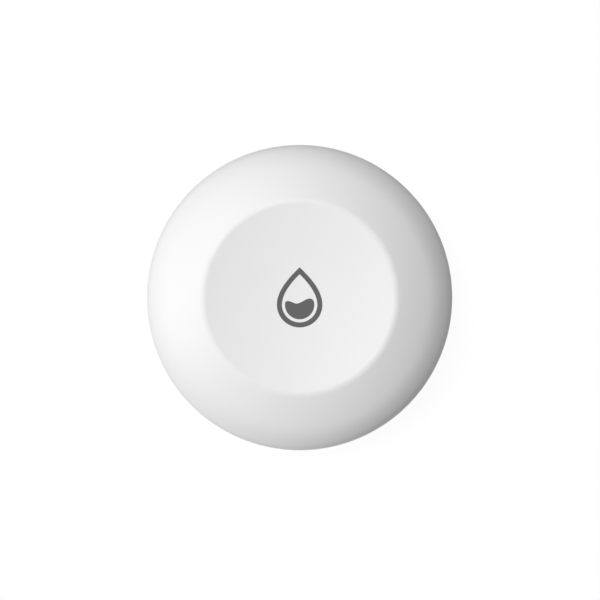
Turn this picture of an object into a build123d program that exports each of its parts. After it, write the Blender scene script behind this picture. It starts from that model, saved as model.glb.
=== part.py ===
from build123d import *
import os
from math import asin, cos, degrees, radians, sin

# A battery-powered water leak sensor: a white puck that lies on the floor.
# Two steel probes under it feel a film of water. The dished middle of its top
# is a button with a drop printed on it, and a twist-lock cover underneath
# holds a coin cell. Lengths are in millimetres and angles in degrees.
# The origin is on the floor under the middle of the puck. +Z is up and +Y
# points from the foot of the printed drop to its tip.
# The case is built outwards and upwards from the coin cell that it holds, and
# comes to 50 mm across and 15 mm high.

os.makedirs("parts", exist_ok=True)

wall = 1.6  # of both shells
overrun = 1.0  # how far a cut runs past the face that it opens

# Coin cell: the standard 20 mm by 3.2 mm size
cell_diameter = 20.0
cell_thickness = 3.2
cell_metal = 0.25
cell_edge = 0.5
cell_cap_inset = 1.5  # from the can's side to the cap's
cell_cap_step = 0.45  # how far the cap stands above the can's crimp
cell_crimp = 0.7
cell_cap_skirt = 0.7
cell_ring_foot = 1.9
cell_fit = 0.02
cell_cap_diameter = cell_diameter - 2 * cell_cap_inset
cell_radius = cell_diameter / 2
cap_radius = cell_cap_diameter / 2

# Holder round the cell, and the cover's neck round the holder
holder_gap = 0.15
holder_wall = 1.3
holder_height = 2.7
holder_window_arc = 56.0
holder_pry_arc = 40.0
holder_pry_height = 1.4
holder_peg_diameter = 1.0
holder_peg_height = 0.8
holder_peg_gap = 0.05
holder_neck_gap = 0.45
holder_inner = cell_radius + holder_gap
holder_outer = holder_inner + holder_wall

# Battery cover, its seal, its twist lock and the socket that takes it
foot_height = 1.2  # from the floor to the underside
cover_gap = 0.15  # all round the cover
cover_thickness = 1.5
cover_edge = 0.3
cover_seat_gap = 0.05
piston_gap = 0.12
piston_height = 1.6
piston_overlap = 0.8  # how far the cover's rim runs under the shell
neck_wall = 1.0
seal_cord = 0.9
seal_gap = 0.025
seal_groove_width = 1.05
lug_gap = 0.1  # between the lugs and the ledges, all round
lug_reach = 1.0
lug_height = 0.9
lug_arc = 20.0
lug_count = 3
ledge_height = 0.8
ledge_arc = 20.0
ledge_start = 20.0  # where the first ledge begins
clear_angle = 2.0
lock_turn = 18.0
stop_arc = 2.6
stop_slack = 1.2
socket_wall = 2.0
socket_margin = 0.1  # how far the socket stands above the cover's lugs
coin_slot_length = 13.0
coin_slot_width = 1.9
coin_slot_depth = 0.9
arrow_width = 1.5
arrow_length = 1.3
mark_depth = 0.2
mark_inset = 0.75  # from the cover's edge to the arrow's tip
lock_dot_diameter = 1.1
lock_ring_stroke = 0.25
lock_dot_offset = 1.1  # from the recess edge to the middle of a dot
lock_mark_angle = 270.0
pad_thickness = 0.45
pad_diameter = 13.0
pad_gap = 0.05

neck_inner_radius = holder_outer + holder_neck_gap
neck_radius = neck_inner_radius + neck_wall
lug_radius = neck_radius + lug_reach
ledge_radius = neck_radius + 2 * lug_gap
socket_radius = lug_radius + 2 * lug_gap
socket_outer = socket_radius + socket_wall
piston_radius = socket_radius - piston_gap
cover_radius = socket_radius + piston_overlap
recess_radius = cover_radius + cover_gap
groove_radius = socket_radius - seal_cord - 2 * seal_gap

floor_top = foot_height + wall
cover_top = foot_height + cover_thickness
recess_top = cover_top + cover_seat_gap
piston_top = cover_top + piston_height
groove_middle = cover_top + piston_height / 2
ledge_bottom = piston_top + lug_gap
ledge_top = ledge_bottom + ledge_height
lug_bottom = ledge_top + lug_gap
lug_top = lug_bottom + lug_height
socket_top = lug_top + socket_margin
cell_bottom = cover_top + pad_thickness + pad_gap
cell_top = cell_bottom + cell_thickness
crimp_top = cell_top - cell_cap_step

# Probes in the underside, just outside the socket
probe_inset = 2.5  # from the socket to the middle of a probe
probe_head_diameter = 4.0
probe_head_edge = 0.35
probe_clearance = 0.5  # from the floor to the probes' tips
probe_shank_diameter = 2.0
probe_bore_gap = 0.03
probe_seat_depth = 0.3  # how far the head sinks into the underside
probe_seat_gap = 0.12
probe_boss_diameter = 5.6
probe_boss_height = 1.5
probe_tail = 0.35  # how far the shank stands past the nut
probe_seal_height = 0.55
probe_seal_width = 0.7
probe_nut_width = 4.0
probe_nut_height = 1.1
probe_nut_edge = 0.2
finger_metal = 0.2
finger_width = 1.6
finger_foot = 2.2
finger_reach = 3.4  # from the middle of the finger's foot to the probe's axis
finger_contact = 1.8
finger_gap = 0.02

probe_radius = socket_outer + probe_inset
probe_seat_top = foot_height + probe_seat_depth
probe_boss_top = floor_top + probe_boss_height
nut_top = probe_boss_top + probe_nut_height
probe_top = nut_top + probe_tail

# Underside: moulded feet, and the rounded edge up to the seam
foot_inset = 3.1  # from the socket to the middle of a foot
foot_diameter = 3.4
foot_count = 4
foot_first_angle = 45.0
foot_round = 0.35
probe_margin = 2.6  # from the middle of a probe to where the edge rounds up
base_round = 3.8
foot_circle = socket_outer + foot_inset
base_radius = probe_radius + probe_margin
case_radius = base_radius + base_round
seam_height = foot_height + base_round

# Circuit board on its bosses, over the cell
board_headroom = 0.6  # from the cell to the board, where the spring works
board_thickness = 1.0
board_gap = 0.4
board_hole_diameter = 2.0
boss_inset = 2.3  # from the socket to the middle of a boss
boss_diameter = 3.8
boss_count = 3
boss_first_angle = 90.0
screw_shank_diameter = 1.6
screw_shank_length = 4.6
screw_head_diameter = 3.0
screw_head_height = 1.0
screw_head_round = 0.35
screw_bore_gap = 0.02
screw_recess_length = 1.7
screw_recess_width = 0.4
screw_recess_depth = 0.5
board_bottom = cell_top + board_headroom
board_top = board_bottom + board_thickness
boss_circle = socket_outer + boss_inset

# Joint between the shells: a collar, a gasket and snap beads
shell_gap = 0.1  # between the collar and the upper shell
seam_chamfer = 0.15
collar_wall = 1.6
collar_height = 3.4  # from the seam
collar_lead = 0.3
gasket_height = 1.0
gasket_depth = 0.6
gasket_gap = 0.04
gasket_lift = 0.7  # from the seam to the gasket's groove
bead_lift = 0.6  # from the gasket's groove to the beads
bead_height = 0.6
bead_reach = 0.3
bead_gap = 0.08
bead_arc = 24.0
bead_count = 6

collar_radius = case_radius - wall - shell_gap
collar_inner = collar_radius - collar_wall
collar_top = seam_height + collar_height
gasket_bottom = seam_height + gasket_lift
gasket_top = gasket_bottom + gasket_height
bead_bottom = gasket_top + bead_lift
board_radius = collar_inner - board_gap

# Tactile switch in the middle of the board
switch_side = 5.2
switch_body_height = 1.5
switch_height = 2.5  # from the board to the top of the plunger
switch_cavity_diameter = 4.0
switch_floor = 0.3
switch_plate = 0.15
switch_plunger_diameter = 2.6
switch_plunger_flange = 3.6
switch_flange_height = 0.3
switch_gap = 0.05
switch_dome_metal = 0.1
switch_dome_diameter = 3.8
switch_lead_width = 0.7
switch_lead_reach = 0.8
switch_lead_height = 0.2
switch_lead_spacing = 3.7
switch_tab_width = 1.6
switch_tab_height = 0.9
press_travel = 0.25

plunger_top = board_top + switch_height
switch_top = board_top + switch_body_height
switch_plate_bottom = switch_top - switch_plate
plunger_flange_top = switch_plate_bottom - switch_gap
plunger_flange_bottom = plunger_flange_top - switch_flange_height
dome_bottom = board_top + switch_floor
dome_top = plunger_flange_bottom - press_travel - switch_gap

# Pressed middle of the top
rim_width = 9.55  # from the crest to the outside of the case
dish_depth = 1.0
press_gap = 0.05  # all round the pressed disc
press_wall = 1.3
press_skirt = 1.2
press_flange_reach = 1.0  # how far the flange runs under the rim
press_flange_thickness = 0.8
press_lip = 1.7  # thickness of the rim over the flange
press_key_width = 2.0
press_rib_width = 0.8
press_rib_height = 1.0
press_rib_count = 6
post_diameter = 3.2
post_height = 2.18  # under the disc
post_gap = 0.02  # over the switch's plunger

crest_radius = case_radius - rim_width
post_tip = plunger_top + post_gap
dish_floor = post_tip + post_height + press_wall
case_height = dish_floor + dish_depth
opening_radius = crest_radius + press_gap / 2
press_radius = crest_radius - press_gap / 2
flange_radius = crest_radius + press_flange_reach
pocket_radius = flange_radius + 2 * press_gap
lip_bottom = case_height - press_lip
flange_top = lip_bottom - press_gap
flange_bottom = flange_top - press_flange_thickness
skirt_radius = press_radius - press_skirt
rib_top = dish_floor - press_wall / 8
rib_bottom = dish_floor - press_wall - press_rib_height

# The skin is a chain of tangent arcs: dish, crest, shoulder, bend and side
crest_round = 2.6
bend_round = 9.0
side_round = 4.0
shoulder_top_slope = 18.0  # degrees, just outside the crest
shoulder_low_slope = 25.0  # degrees, where the shoulder begins to bend down
side_top_slope = 50.0  # degrees, where the bend meets the side
centre_reach = (crest_radius**2 + dish_depth**2) / (2 * dish_depth)
dish_curve = centre_reach - crest_round
dish_slope = degrees(asin(crest_radius / centre_reach))
top_slope = radians(shoulder_top_slope)
low_slope = radians(shoulder_low_slope)
side_slope = radians(side_top_slope)
side_run = side_round * (1 - sin(side_slope))
bend_run = bend_round * (sin(side_slope) - sin(low_slope))
shoulder_run = rim_width - side_run - bend_run - crest_round * sin(top_slope)
shoulder_curve = shoulder_run / (sin(low_slope) - sin(top_slope))

# Printed drop, filled into shallow recesses
drop_width = 7.36
drop_height = 9.74
drop_middle = 0.04  # how far the drop's mid height lies above the middle of the dish
drop_stroke = 0.81
drop_water_diameter = 4.74
drop_recess_depth = 0.2
drop_proud = 0.03  # how far the filled drop stands above the dish
drop_tip_pull = 2.6  # length of the curve's handle at the tip
drop_side_pull = 2.2  # length of the curve's handle at the widest place
drop_tip_angle = 46.0  # half the angle of the tip
# Outline of the water's surface, in shares of the water's radius
water_left_shares = (-0.985, 0.17)
water_crest_left_shares = (-0.83, 0.245)
water_trough_shares = (-0.25, 0.08)
water_slope_shares = (0.28, 0.27)
water_crest_right_shares = (0.74, 0.415)
water_right_shares = (0.975, 0.22)

drop_radius = drop_width / 2
drop_tip = drop_middle + drop_height / 2
drop_centre = drop_middle - drop_height / 2 + drop_radius
water_radius = drop_water_diameter / 2
recess_floor = dish_floor - drop_recess_depth

# Contacts of the cell, soldered under the board
clip_arc = 44.0
clip_metal = 0.22
clip_gap = 0.03
clip_height = 2.4
clip_foot_reach = 2.2
clip_middle_angle = 270.0
spring_metal = 0.2
spring_width = 3.0
spring_length = 13.0
spring_foot = 2.6
spring_contact = 2.4
spring_gap = 0.02

# Parts soldered on the board, placed at shares of the board's radius
radio_side = 6.0
radio_height = 0.9
radio_place_shares = (0.40, 0.34)
crystal_sizes = (3.2, 2.5, 0.8)
crystal_place_shares = (0.15, 0.46)
clock_sizes = (1.6, 3.2, 0.9)
clock_place_shares = (0.62, 0.16)
crystal_lid_inset = 0.25
reservoir_sizes = (3.5, 2.8, 1.9)
reservoir_place_shares = (-0.46, 0.28)
led_sizes = (1.6, 0.8, 0.35)
led_lens_sizes = (1.0, 0.8, 0.25)
led_place_shares = (-0.21, 0.0)
transistor_sizes = (1.3, 2.9, 1.0)
transistor_lead = 0.5
transistor_place_share = 0.66
transistor_side_share = -0.20
resistor_sizes = (1.6, 0.8, 0.45)
resistor_pitch = (2.6, 1.8)
resistor_counts = (3, 4)
resistor_place_shares = (-0.44, -0.34)
capacitor_sizes = (1.6, 0.8, 0.8)
capacitor_pitch = (2.6, 1.9)
capacitor_counts = (3, 3)
capacitor_place_shares = (0.42, -0.34)

# Copper on the board: the antenna along its edge, and a row of pads
copper_thickness = 0.07
antenna_width = 0.8
antenna_edge_gap = 0.7
antenna_first_angle = 22.0
antenna_arc = 48.0
antenna_leg_length = 2.4
antenna_leg_arc = 3.0
pad_row_diameter = 1.3
pad_row_pitch = 2.2
pad_row_count = 5
pad_row_place_shares = (0.0, -0.72)
copper_top = board_top + copper_thickness


def skin(inset):
    """Draws the skin's arcs from the middle of the dish to the side, inset into the wall."""
    dish = JernArc((0, dish_floor - inset), (1, 0), dish_curve + inset, dish_slope)
    crest_turn = dish_slope + shoulder_top_slope
    crest = JernArc(dish @ 1, dish % 1, crest_round - inset, -crest_turn)
    shoulder_turn = shoulder_low_slope - shoulder_top_slope
    shoulder = JernArc(crest @ 1, crest % 1, shoulder_curve - inset, -shoulder_turn)
    bend_turn = side_top_slope - shoulder_low_slope
    bend = JernArc(shoulder @ 1, shoulder % 1, bend_round - inset, -bend_turn)
    side_turn = 90 - side_top_slope
    side = JernArc(bend @ 1, bend % 1, side_round - inset, -side_turn)
    return side @ 1


def ring(inner, outer, bottom, top, mode=Mode.ADD):
    """Adds or cuts a ring about Z, or a disc where the inner radius is zero."""
    with BuildSketch(Plane.XY.offset(bottom)) as flat:
        Circle(outer)
        if inner > 0:
            Circle(inner, mode=Mode.SUBTRACT)
    extrude(flat.sketch, amount=top - bottom, mode=mode)


def sector(inner, outer, start, arc, bottom, top, mode=Mode.ADD):
    """Adds or cuts a stretch of a ring about Z, counted round from a start angle."""
    with BuildSketch(Plane.XY.offset(bottom)) as flat:
        with BuildLine():
            far = CenterArc((0, 0), outer, start, arc)
            near = CenterArc((0, 0), inner, start, arc)
            Line(near @ 0, far @ 0)
            Line(near @ 1, far @ 1)
        make_face()
    extrude(flat.sketch, amount=top - bottom, mode=mode)


def turned(corners, start=0, arc=360, mode=Mode.ADD):
    """Adds or cuts a section turned about Z, from its corners in radius and height."""
    facing = (sin(radians(start)), -cos(radians(start)), 0)
    outward = (cos(radians(start)), sin(radians(start)), 0)
    with BuildSketch(Plane((0, 0, 0), x_dir=outward, z_dir=facing)) as section:
        with BuildLine():
            Polyline(*corners, close=True)
        make_face()
    revolve(section.sketch, axis=Axis.Z, revolution_arc=arc, mode=mode)


def block(sizes, x, y, z, mode=Mode.ADD):
    """Adds or cuts a block that stands on height z, centred on x and y."""
    with Locations((x, y, z)):
        Box(*sizes, align=(Align.CENTER, Align.CENTER, Align.MIN), mode=mode)


def post(radius, bottom, top, mode=Mode.ADD):
    """Adds or cuts a round post between two heights, where the locations say."""
    with Locations((0, 0, bottom)):
        Cylinder(
            radius,
            top - bottom,
            align=(Align.CENTER, Align.CENTER, Align.MIN),
            mode=mode,
        )


def board_place(place_shares):
    """The place on the board at shares of the board's radius."""
    return (place_shares[0] * board_radius, place_shares[1] * board_radius)


def drop_outline(inset):
    """Draws a drop inside the printed one: a round foot and sides curving to a tip."""
    lean = radians(drop_tip_angle)
    radius = drop_radius - inset
    tip = drop_tip - inset / sin(lean)
    tip_pull = drop_tip_pull * radius / drop_radius
    side_pull = drop_side_pull * radius / drop_radius
    tip_handle = (tip_pull * sin(lean), tip - tip_pull * cos(lean))
    Bezier((0, tip), tip_handle, (radius, drop_centre + side_pull), (radius, drop_centre))
    RadiusArc((radius, drop_centre), (0, drop_centre - radius), radius)
    mirror(about=Plane.YZ)


def drop_sketch(height):
    """The printed drop, flat: the stroke between its outline and a smaller drop."""
    with BuildSketch(Plane.XY.offset(height)) as figure:
        with BuildLine():
            drop_outline(0)
        make_face()
        with BuildLine():
            drop_outline(drop_stroke)
        make_face(mode=Mode.SUBTRACT)
    return figure.sketch


def water_sketch(height):
    """The water inside the drop, flat: a disc whose top is a wave."""
    surface_shares = [
        water_left_shares,
        water_crest_left_shares,
        water_trough_shares,
        water_slope_shares,
        water_crest_right_shares,
        water_right_shares,
    ]
    surface = [(x * water_radius, drop_centre + y * water_radius) for x, y in surface_shares]
    with BuildSketch(Plane.XY.offset(height)) as figure:
        with Locations((0, drop_centre)):
            Circle(water_radius)
        with BuildLine():
            wave = Spline(*surface)
            Line(wave @ 0, (-drop_radius, drop_tip))
            Line((-drop_radius, drop_tip), (drop_radius, drop_tip))
            Line((drop_radius, drop_tip), wave @ 1)
        make_face(mode=Mode.SUBTRACT)
    return figure.sketch


# Upper shell: the rim round the pressed middle, and the side down to the seam
with BuildPart() as top_shell:
    with BuildSketch(Plane.XZ):
        with BuildLine():
            outer_end = skin(0)
            inner_end = skin(wall)
            Line((0, dish_floor - wall), (0, dish_floor))
            Line(outer_end, (case_radius, seam_height))
            Line((case_radius, seam_height), (case_radius - wall, seam_height))
            Line((case_radius - wall, seam_height), inner_end)
        make_face()
    revolve(axis=Axis.Z)
    # The opening for the pressed disc, and the pocket for its flange
    ring(0, opening_radius, lip_bottom - overrun, case_height + overrun, Mode.SUBTRACT)
    ring(0, pocket_radius, lip_bottom - overrun, lip_bottom, Mode.SUBTRACT)
    # Two keys under the rim that keep the pressed disc from turning
    key_length = pocket_radius - opening_radius
    key_middle = (pocket_radius + opening_radius) / 2
    key_root = lip_bottom + press_lip / 4
    key_sizes = (key_length, press_key_width, key_root - flange_bottom)
    for side in (-1, 1):
        block(key_sizes, side * key_middle, 0, flange_bottom)
    # The groove that the lower shell's snap beads click into
    ring(
        collar_radius,
        collar_radius + bead_reach + bead_gap,
        bead_bottom - bead_gap,
        bead_bottom + bead_height + bead_gap,
        Mode.SUBTRACT,
    )
    seam_edges = top_shell.edges().filter_by(GeomType.CIRCLE).group_by(Axis.Z)[0]
    chamfer(seam_edges.sort_by(SortBy.RADIUS)[-1], seam_chamfer)
top_shell.part.label = "top_shell"
export_step(top_shell.part, "parts/top_shell.step")

# Pressed disc: the dished middle of the top, with the post that works the switch
with BuildPart() as press_dish:
    under_curve = dish_curve + press_wall
    with BuildSketch(Plane.XZ):
        with BuildLine():
            dish = JernArc((0, dish_floor), (1, 0), dish_curve, dish_slope)
            crest = JernArc(dish @ 1, dish % 1, crest_round, -dish_slope)
            under_slope = degrees(asin(skirt_radius / under_curve))
            under = JernArc((0, dish_floor - press_wall), (1, 0), under_curve, under_slope)
            Line(crest @ 1, (crest_radius, flange_bottom))
            Line((crest_radius, flange_bottom), (skirt_radius, flange_bottom))
            Line((skirt_radius, flange_bottom), under @ 1)
            Line(under @ 0, dish @ 0)
        make_face()
    revolve(axis=Axis.Z)
    ring(press_radius, case_radius, flange_bottom - overrun, case_height + overrun, Mode.SUBTRACT)
    ring(press_radius - press_skirt / 2, flange_radius, flange_bottom, flange_top)
    # Notches in the flange for the rim's keys
    notch_sizes = (2 * press_flange_reach, press_key_width + 2 * press_gap, press_lip)
    for side in (-1, 1):
        notch_middle = side * (press_radius + press_flange_reach)
        block(notch_sizes, notch_middle, 0, flange_bottom - press_gap, Mode.SUBTRACT)
    # Ribs and the middle post
    rib_length = 2 * skirt_radius + press_skirt
    with PolarLocations(0, press_rib_count // 2, angular_range=180):
        block((rib_length, press_rib_width, rib_top - rib_bottom), 0, 0, rib_bottom)
    post(post_diameter / 2, post_tip, rib_top)
    # Recesses for the printed drop
    extrude(drop_sketch(recess_floor), amount=case_height, mode=Mode.SUBTRACT)
    extrude(water_sketch(recess_floor), amount=case_height, mode=Mode.SUBTRACT)
press_dish.part.label = "press_dish"
export_step(press_dish.part, "parts/press_dish.step")

# Drop: an outline with the water inside it, filled into recesses of the dish
with BuildPart() as drop_mark:
    extrude(drop_sketch(recess_floor), amount=dish_depth)
    extrude(water_sketch(recess_floor), amount=dish_depth)
    with Locations((0, 0, dish_floor + dish_curve)):
        Sphere(dish_curve - drop_proud, rotation=(90, 0, 0), mode=Mode.SUBTRACT)
drop_mark.part.label = "drop_mark"
export_step(drop_mark.part, "parts/drop_mark.step")

# Gasket between the shells, in the collar's groove
with BuildPart() as case_gasket:
    ring(
        collar_radius - gasket_depth + gasket_gap,
        case_radius - wall - gasket_gap,
        gasket_bottom + gasket_gap,
        gasket_bottom + gasket_height - gasket_gap,
    )
case_gasket.part.label = "case_gasket"
export_step(case_gasket.part, "parts/case_gasket.step")

# Lower shell: underside, collar, battery socket, bosses and feet
with BuildPart() as bottom_shell:
    with BuildSketch(Plane.XZ):
        with BuildLine():
            tuck = JernArc((base_radius, foot_height), (1, 0), base_round, 90)
            Polyline(
                tuck @ 1,
                (collar_radius, seam_height),
                (collar_radius, collar_top),
                (collar_inner, collar_top),
                (collar_inner, floor_top),
                (0, floor_top),
                (0, foot_height),
                (base_radius, foot_height),
            )
        make_face()
    revolve(axis=Axis.Z)
    rim_edges = bottom_shell.edges().filter_by(GeomType.CIRCLE)
    chamfer(rim_edges.group_by(Axis.Z)[-1].sort_by(SortBy.RADIUS)[-1], collar_lead)
    # Gasket groove and snap beads
    groove_floor = collar_radius - gasket_depth
    ring(groove_floor, case_radius, gasket_bottom, gasket_top, Mode.SUBTRACT)
    bead_corners = [
        (collar_inner + collar_wall / 2, bead_bottom),
        (collar_radius + bead_reach, bead_bottom),
        (collar_radius + bead_reach, bead_bottom + bead_height / 3),
        (collar_radius, bead_bottom + bead_height),
        (collar_inner + collar_wall / 2, bead_bottom + bead_height),
    ]
    for index in range(bead_count):
        turned(bead_corners, 360 / bead_count * index, bead_arc)
    # Battery socket, and the recess for the cover
    ring(cover_radius, socket_outer, foot_height, socket_top)
    ring(0, recess_radius, foot_height - overrun, recess_top, Mode.SUBTRACT)
    ring(socket_radius, socket_outer, recess_top, socket_top)
    ring(0, socket_radius, recess_top - overrun, socket_top + overrun, Mode.SUBTRACT)
    # Ledges that hold the cover's lugs, each with a stop at its end
    for index in range(lug_count):
        start = ledge_start + 360 / lug_count * index
        ledge_root = socket_radius + socket_wall / 2
        sector(ledge_radius, ledge_root, start, ledge_arc, ledge_bottom, ledge_top)
        stop_start = start + lock_turn - clear_angle + stop_slack
        sector(ledge_radius, ledge_root, stop_start, stop_arc, ledge_bottom, lug_top)
    # Screw bosses under the board
    with PolarLocations(boss_circle, boss_count, start_angle=boss_first_angle):
        post(boss_diameter / 2, floor_top - wall / 2, board_bottom)
        post(
            screw_shank_diameter / 2 + screw_bore_gap,
            board_top - screw_shank_length - screw_bore_gap,
            board_bottom + overrun,
            Mode.SUBTRACT,
        )
    # Probe bosses, with a seat for the head and another for the seal
    with PolarLocations(probe_radius, 2):
        post(probe_boss_diameter / 2, floor_top - wall / 2, probe_boss_top)
        seat_radius = probe_head_diameter / 2 + probe_seat_gap
        post(seat_radius, foot_height - overrun, probe_seat_top, Mode.SUBTRACT)
        seal_radius = probe_shank_diameter / 2 + probe_bore_gap + probe_seal_width
        post(seal_radius, foot_height, probe_seat_top + probe_seal_height, Mode.SUBTRACT)
        bore_radius = probe_shank_diameter / 2 + probe_bore_gap
        post(bore_radius, foot_height, probe_boss_top + overrun, Mode.SUBTRACT)
    # Marks beside the cover: a ring for open and a dot for closed
    mark_circle = recess_radius + lock_dot_offset
    with PolarLocations(mark_circle, 1, start_angle=lock_mark_angle):
        post(lock_dot_diameter / 2, foot_height, foot_height + mark_depth, Mode.SUBTRACT)
        post(
            lock_dot_diameter / 2 - lock_ring_stroke,
            foot_height,
            foot_height + mark_depth,
        )
    with PolarLocations(mark_circle, 1, start_angle=lock_mark_angle + lock_turn):
        post(lock_dot_diameter / 2, foot_height, foot_height + mark_depth, Mode.SUBTRACT)
    # Feet
    with PolarLocations(foot_circle, foot_count, start_angle=foot_first_angle):
        post(foot_diameter / 2, 0, foot_height + wall / 2)
    fillet(bottom_shell.edges().group_by(Axis.Z)[0], foot_round)
bottom_shell.part.label = "bottom_shell"
export_step(bottom_shell.part, "parts/bottom_shell.step")

# Battery cover: rim, grooved piston, neck with three lugs, coin slot and arrow
with BuildPart() as battery_cover:
    ring(0, cover_radius, foot_height, cover_top)
    chamfer(battery_cover.edges().group_by(Axis.Z)[0], cover_edge)
    ring(neck_inner_radius, piston_radius, cover_top, piston_top)
    ring(neck_inner_radius, neck_radius, piston_top, lug_top)
    ring(
        groove_radius,
        piston_radius + overrun,
        groove_middle - seal_groove_width / 2,
        groove_middle + seal_groove_width / 2,
        Mode.SUBTRACT,
    )
    for index in range(lug_count):
        start = ledge_start - clear_angle - lug_arc + 360 / lug_count * index
        sector(neck_radius - neck_wall / 2, lug_radius, start, lug_arc, lug_bottom, lug_top)
    with BuildSketch(Plane.XY.offset(foot_height)) as slot:
        SlotOverall(coin_slot_length, coin_slot_width)
    extrude(slot.sketch, amount=coin_slot_depth, mode=Mode.SUBTRACT)
    with BuildSketch(Plane.XY.offset(foot_height)) as arrow:
        with PolarLocations(0, 1, start_angle=lock_mark_angle):
            arrow_tip = cover_radius - mark_inset
            arrow_tail = arrow_tip - arrow_length
            Polygon(
                (arrow_tip, 0),
                (arrow_tail, arrow_width / 2),
                (arrow_tail, -arrow_width / 2),
                align=None,
            )
    extrude(arrow.sketch, amount=mark_depth, mode=Mode.SUBTRACT)
battery_cover.part.label = "battery_cover"
export_step(battery_cover.part, "parts/battery_cover.step")

# Seal ring in the cover's groove
with BuildPart() as cover_seal:
    with Locations((0, 0, groove_middle)):
        Torus(groove_radius + seal_gap + seal_cord / 2, seal_cord / 2)
cover_seal.part.label = "cover_seal"
export_step(cover_seal.part, "parts/cover_seal.step")

# Foam pad on the cover, which presses the cell against its spring
with BuildPart() as cover_pad:
    ring(0, pad_diameter / 2, cover_top, cover_top + pad_thickness)
cover_pad.part.label = "cover_pad"
export_step(cover_pad.part, "parts/cover_pad.step")

# Coin cell: can, cap, the ring that insulates them, and the core
can_inner = cell_radius - cell_metal
can_floor = cell_bottom + cell_metal
skirt_outer = cap_radius + cell_cap_skirt
skirt_top = crimp_top - cell_metal - 2 * cell_fit
skirt_foot = can_floor + 2 * cell_metal
with BuildPart() as battery_can:
    turned(
        [
            (0, cell_bottom),
            (cell_radius - cell_edge, cell_bottom),
            (cell_radius, cell_bottom + cell_edge),
            (cell_radius, crimp_top - cell_metal),
            (cell_radius - cell_metal, crimp_top),
            (cell_radius - cell_crimp, crimp_top),
            (cell_radius - cell_crimp, crimp_top - cell_metal),
            (can_inner, crimp_top - 2 * cell_metal),
            (can_inner, can_floor + cell_edge / 2),
            (can_inner - cell_edge / 2, can_floor),
            (0, can_floor),
        ]
    )
battery_can.part.label = "battery_can"
export_step(battery_can.part, "parts/battery_can.step")

with BuildPart() as battery_cap:
    turned(
        [
            (0, cell_top),
            (cap_radius - cell_edge / 2, cell_top),
            (cap_radius, cell_top - cell_edge / 2),
            (cap_radius, skirt_top - cell_metal),
            (skirt_outer, skirt_top - 2 * cell_metal),
            (skirt_outer, skirt_foot),
            (skirt_outer - cell_metal, skirt_foot),
            (skirt_outer - cell_metal, skirt_top - 3 * cell_metal),
            (cap_radius - cell_metal, skirt_top - 2 * cell_metal),
            (cap_radius - cell_metal, cell_top - cell_metal),
            (0, cell_top - cell_metal),
        ]
    )
battery_cap.part.label = "battery_cap"
export_step(battery_cap.part, "parts/battery_cap.step")

with BuildPart() as battery_gasket:
    ring_outer = can_inner - cell_edge / 2 - cell_fit
    turned(
        [
            (ring_outer - cell_ring_foot, can_floor + cell_fit),
            (ring_outer, can_floor + cell_fit),
            (can_inner - cell_fit, can_floor + cell_edge / 2 + cell_fit),
            (can_inner - cell_fit, crimp_top - 2 * cell_metal - cell_fit),
            (cell_radius - cell_crimp, crimp_top - cell_metal - cell_fit),
            (cell_radius - cell_crimp - cell_fit, crimp_top),
            (cap_radius + cell_fit, crimp_top),
            (cap_radius + cell_fit, skirt_top - cell_metal + cell_fit),
            (skirt_outer + cell_fit, skirt_top - 2 * cell_metal + cell_fit),
            (skirt_outer + cell_fit, skirt_foot - cell_fit),
            (ring_outer - cell_ring_foot, skirt_foot - cell_fit),
        ]
    )
battery_gasket.part.label = "battery_gasket"
export_step(battery_gasket.part, "parts/battery_gasket.step")

with BuildPart() as battery_core:
    core_radius = ring_outer - cell_ring_foot - cell_fit
    ring(0, core_radius, can_floor + cell_fit, cell_top - cell_metal - cell_fit)
battery_core.part.label = "battery_core"
export_step(battery_core.part, "parts/battery_core.step")

# Cell holder: a ring under the board, open at the clip, with a pry notch
holder_bottom = board_bottom - holder_height
with BuildPart() as battery_holder:
    window_start = clip_middle_angle - holder_window_arc / 2
    sector(
        holder_inner,
        holder_outer,
        window_start + holder_window_arc,
        360 - holder_window_arc,
        holder_bottom,
        board_bottom,
    )
    sector(
        holder_inner - overrun,
        holder_outer + overrun,
        clip_middle_angle - 180 - holder_pry_arc / 2,
        holder_pry_arc,
        holder_bottom - overrun,
        holder_bottom + holder_pry_height,
        Mode.SUBTRACT,
    )
    with PolarLocations(holder_inner + holder_wall / 2, 2):
        post(holder_peg_diameter / 2, board_bottom - holder_wall, board_bottom + holder_peg_height)
battery_holder.part.label = "battery_holder"
export_step(battery_holder.part, "parts/battery_holder.step")

# Clip that grips the side of the cell, soldered under the board
with BuildPart() as positive_clip:
    clip_inner = cell_radius + clip_gap
    clip_start = clip_middle_angle - clip_arc / 2
    clip_bottom = board_bottom - clip_height
    sector(clip_inner, clip_inner + clip_metal, clip_start, clip_arc, clip_bottom, board_bottom)
    sector(
        clip_inner,
        clip_inner + clip_foot_reach,
        clip_start,
        clip_arc,
        board_bottom - clip_metal,
        board_bottom,
    )
positive_clip.part.label = "positive_clip"
export_step(positive_clip.part, "parts/positive_clip.step")


def leaf(start, foot, contact, tip, top, low, metal, width, direction):
    """Adds a leaf spring: a flat foot under the board, a sloping arm and a lifted tip."""
    profile = [
        (start, top),
        (start + foot, top),
        (start + foot + contact, low + metal),
        (start + foot + contact + tip, low + 2 * metal),
        (start + foot + contact + tip, low + metal),
        (start + foot + contact, low),
        (start + foot, top - metal),
        (start, top - metal),
    ]
    with BuildSketch(Plane.XZ.offset(-width / 2)) as side:
        with BuildLine():
            Polyline(*[(direction * x, z) for x, z in profile], close=True)
        make_face()
    extrude(side.sketch, amount=width)


# Spring that touches the top of the cell, soldered under the board
with BuildPart() as negative_spring:
    spring_arm = spring_length - spring_foot - spring_contact
    leaf(
        -spring_length / 2,
        spring_foot,
        spring_arm,
        spring_contact,
        board_bottom,
        cell_top + spring_gap,
        spring_metal,
        spring_width,
        1,
    )
negative_spring.part.label = "negative_spring"
export_step(negative_spring.part, "parts/negative_spring.step")

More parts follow.
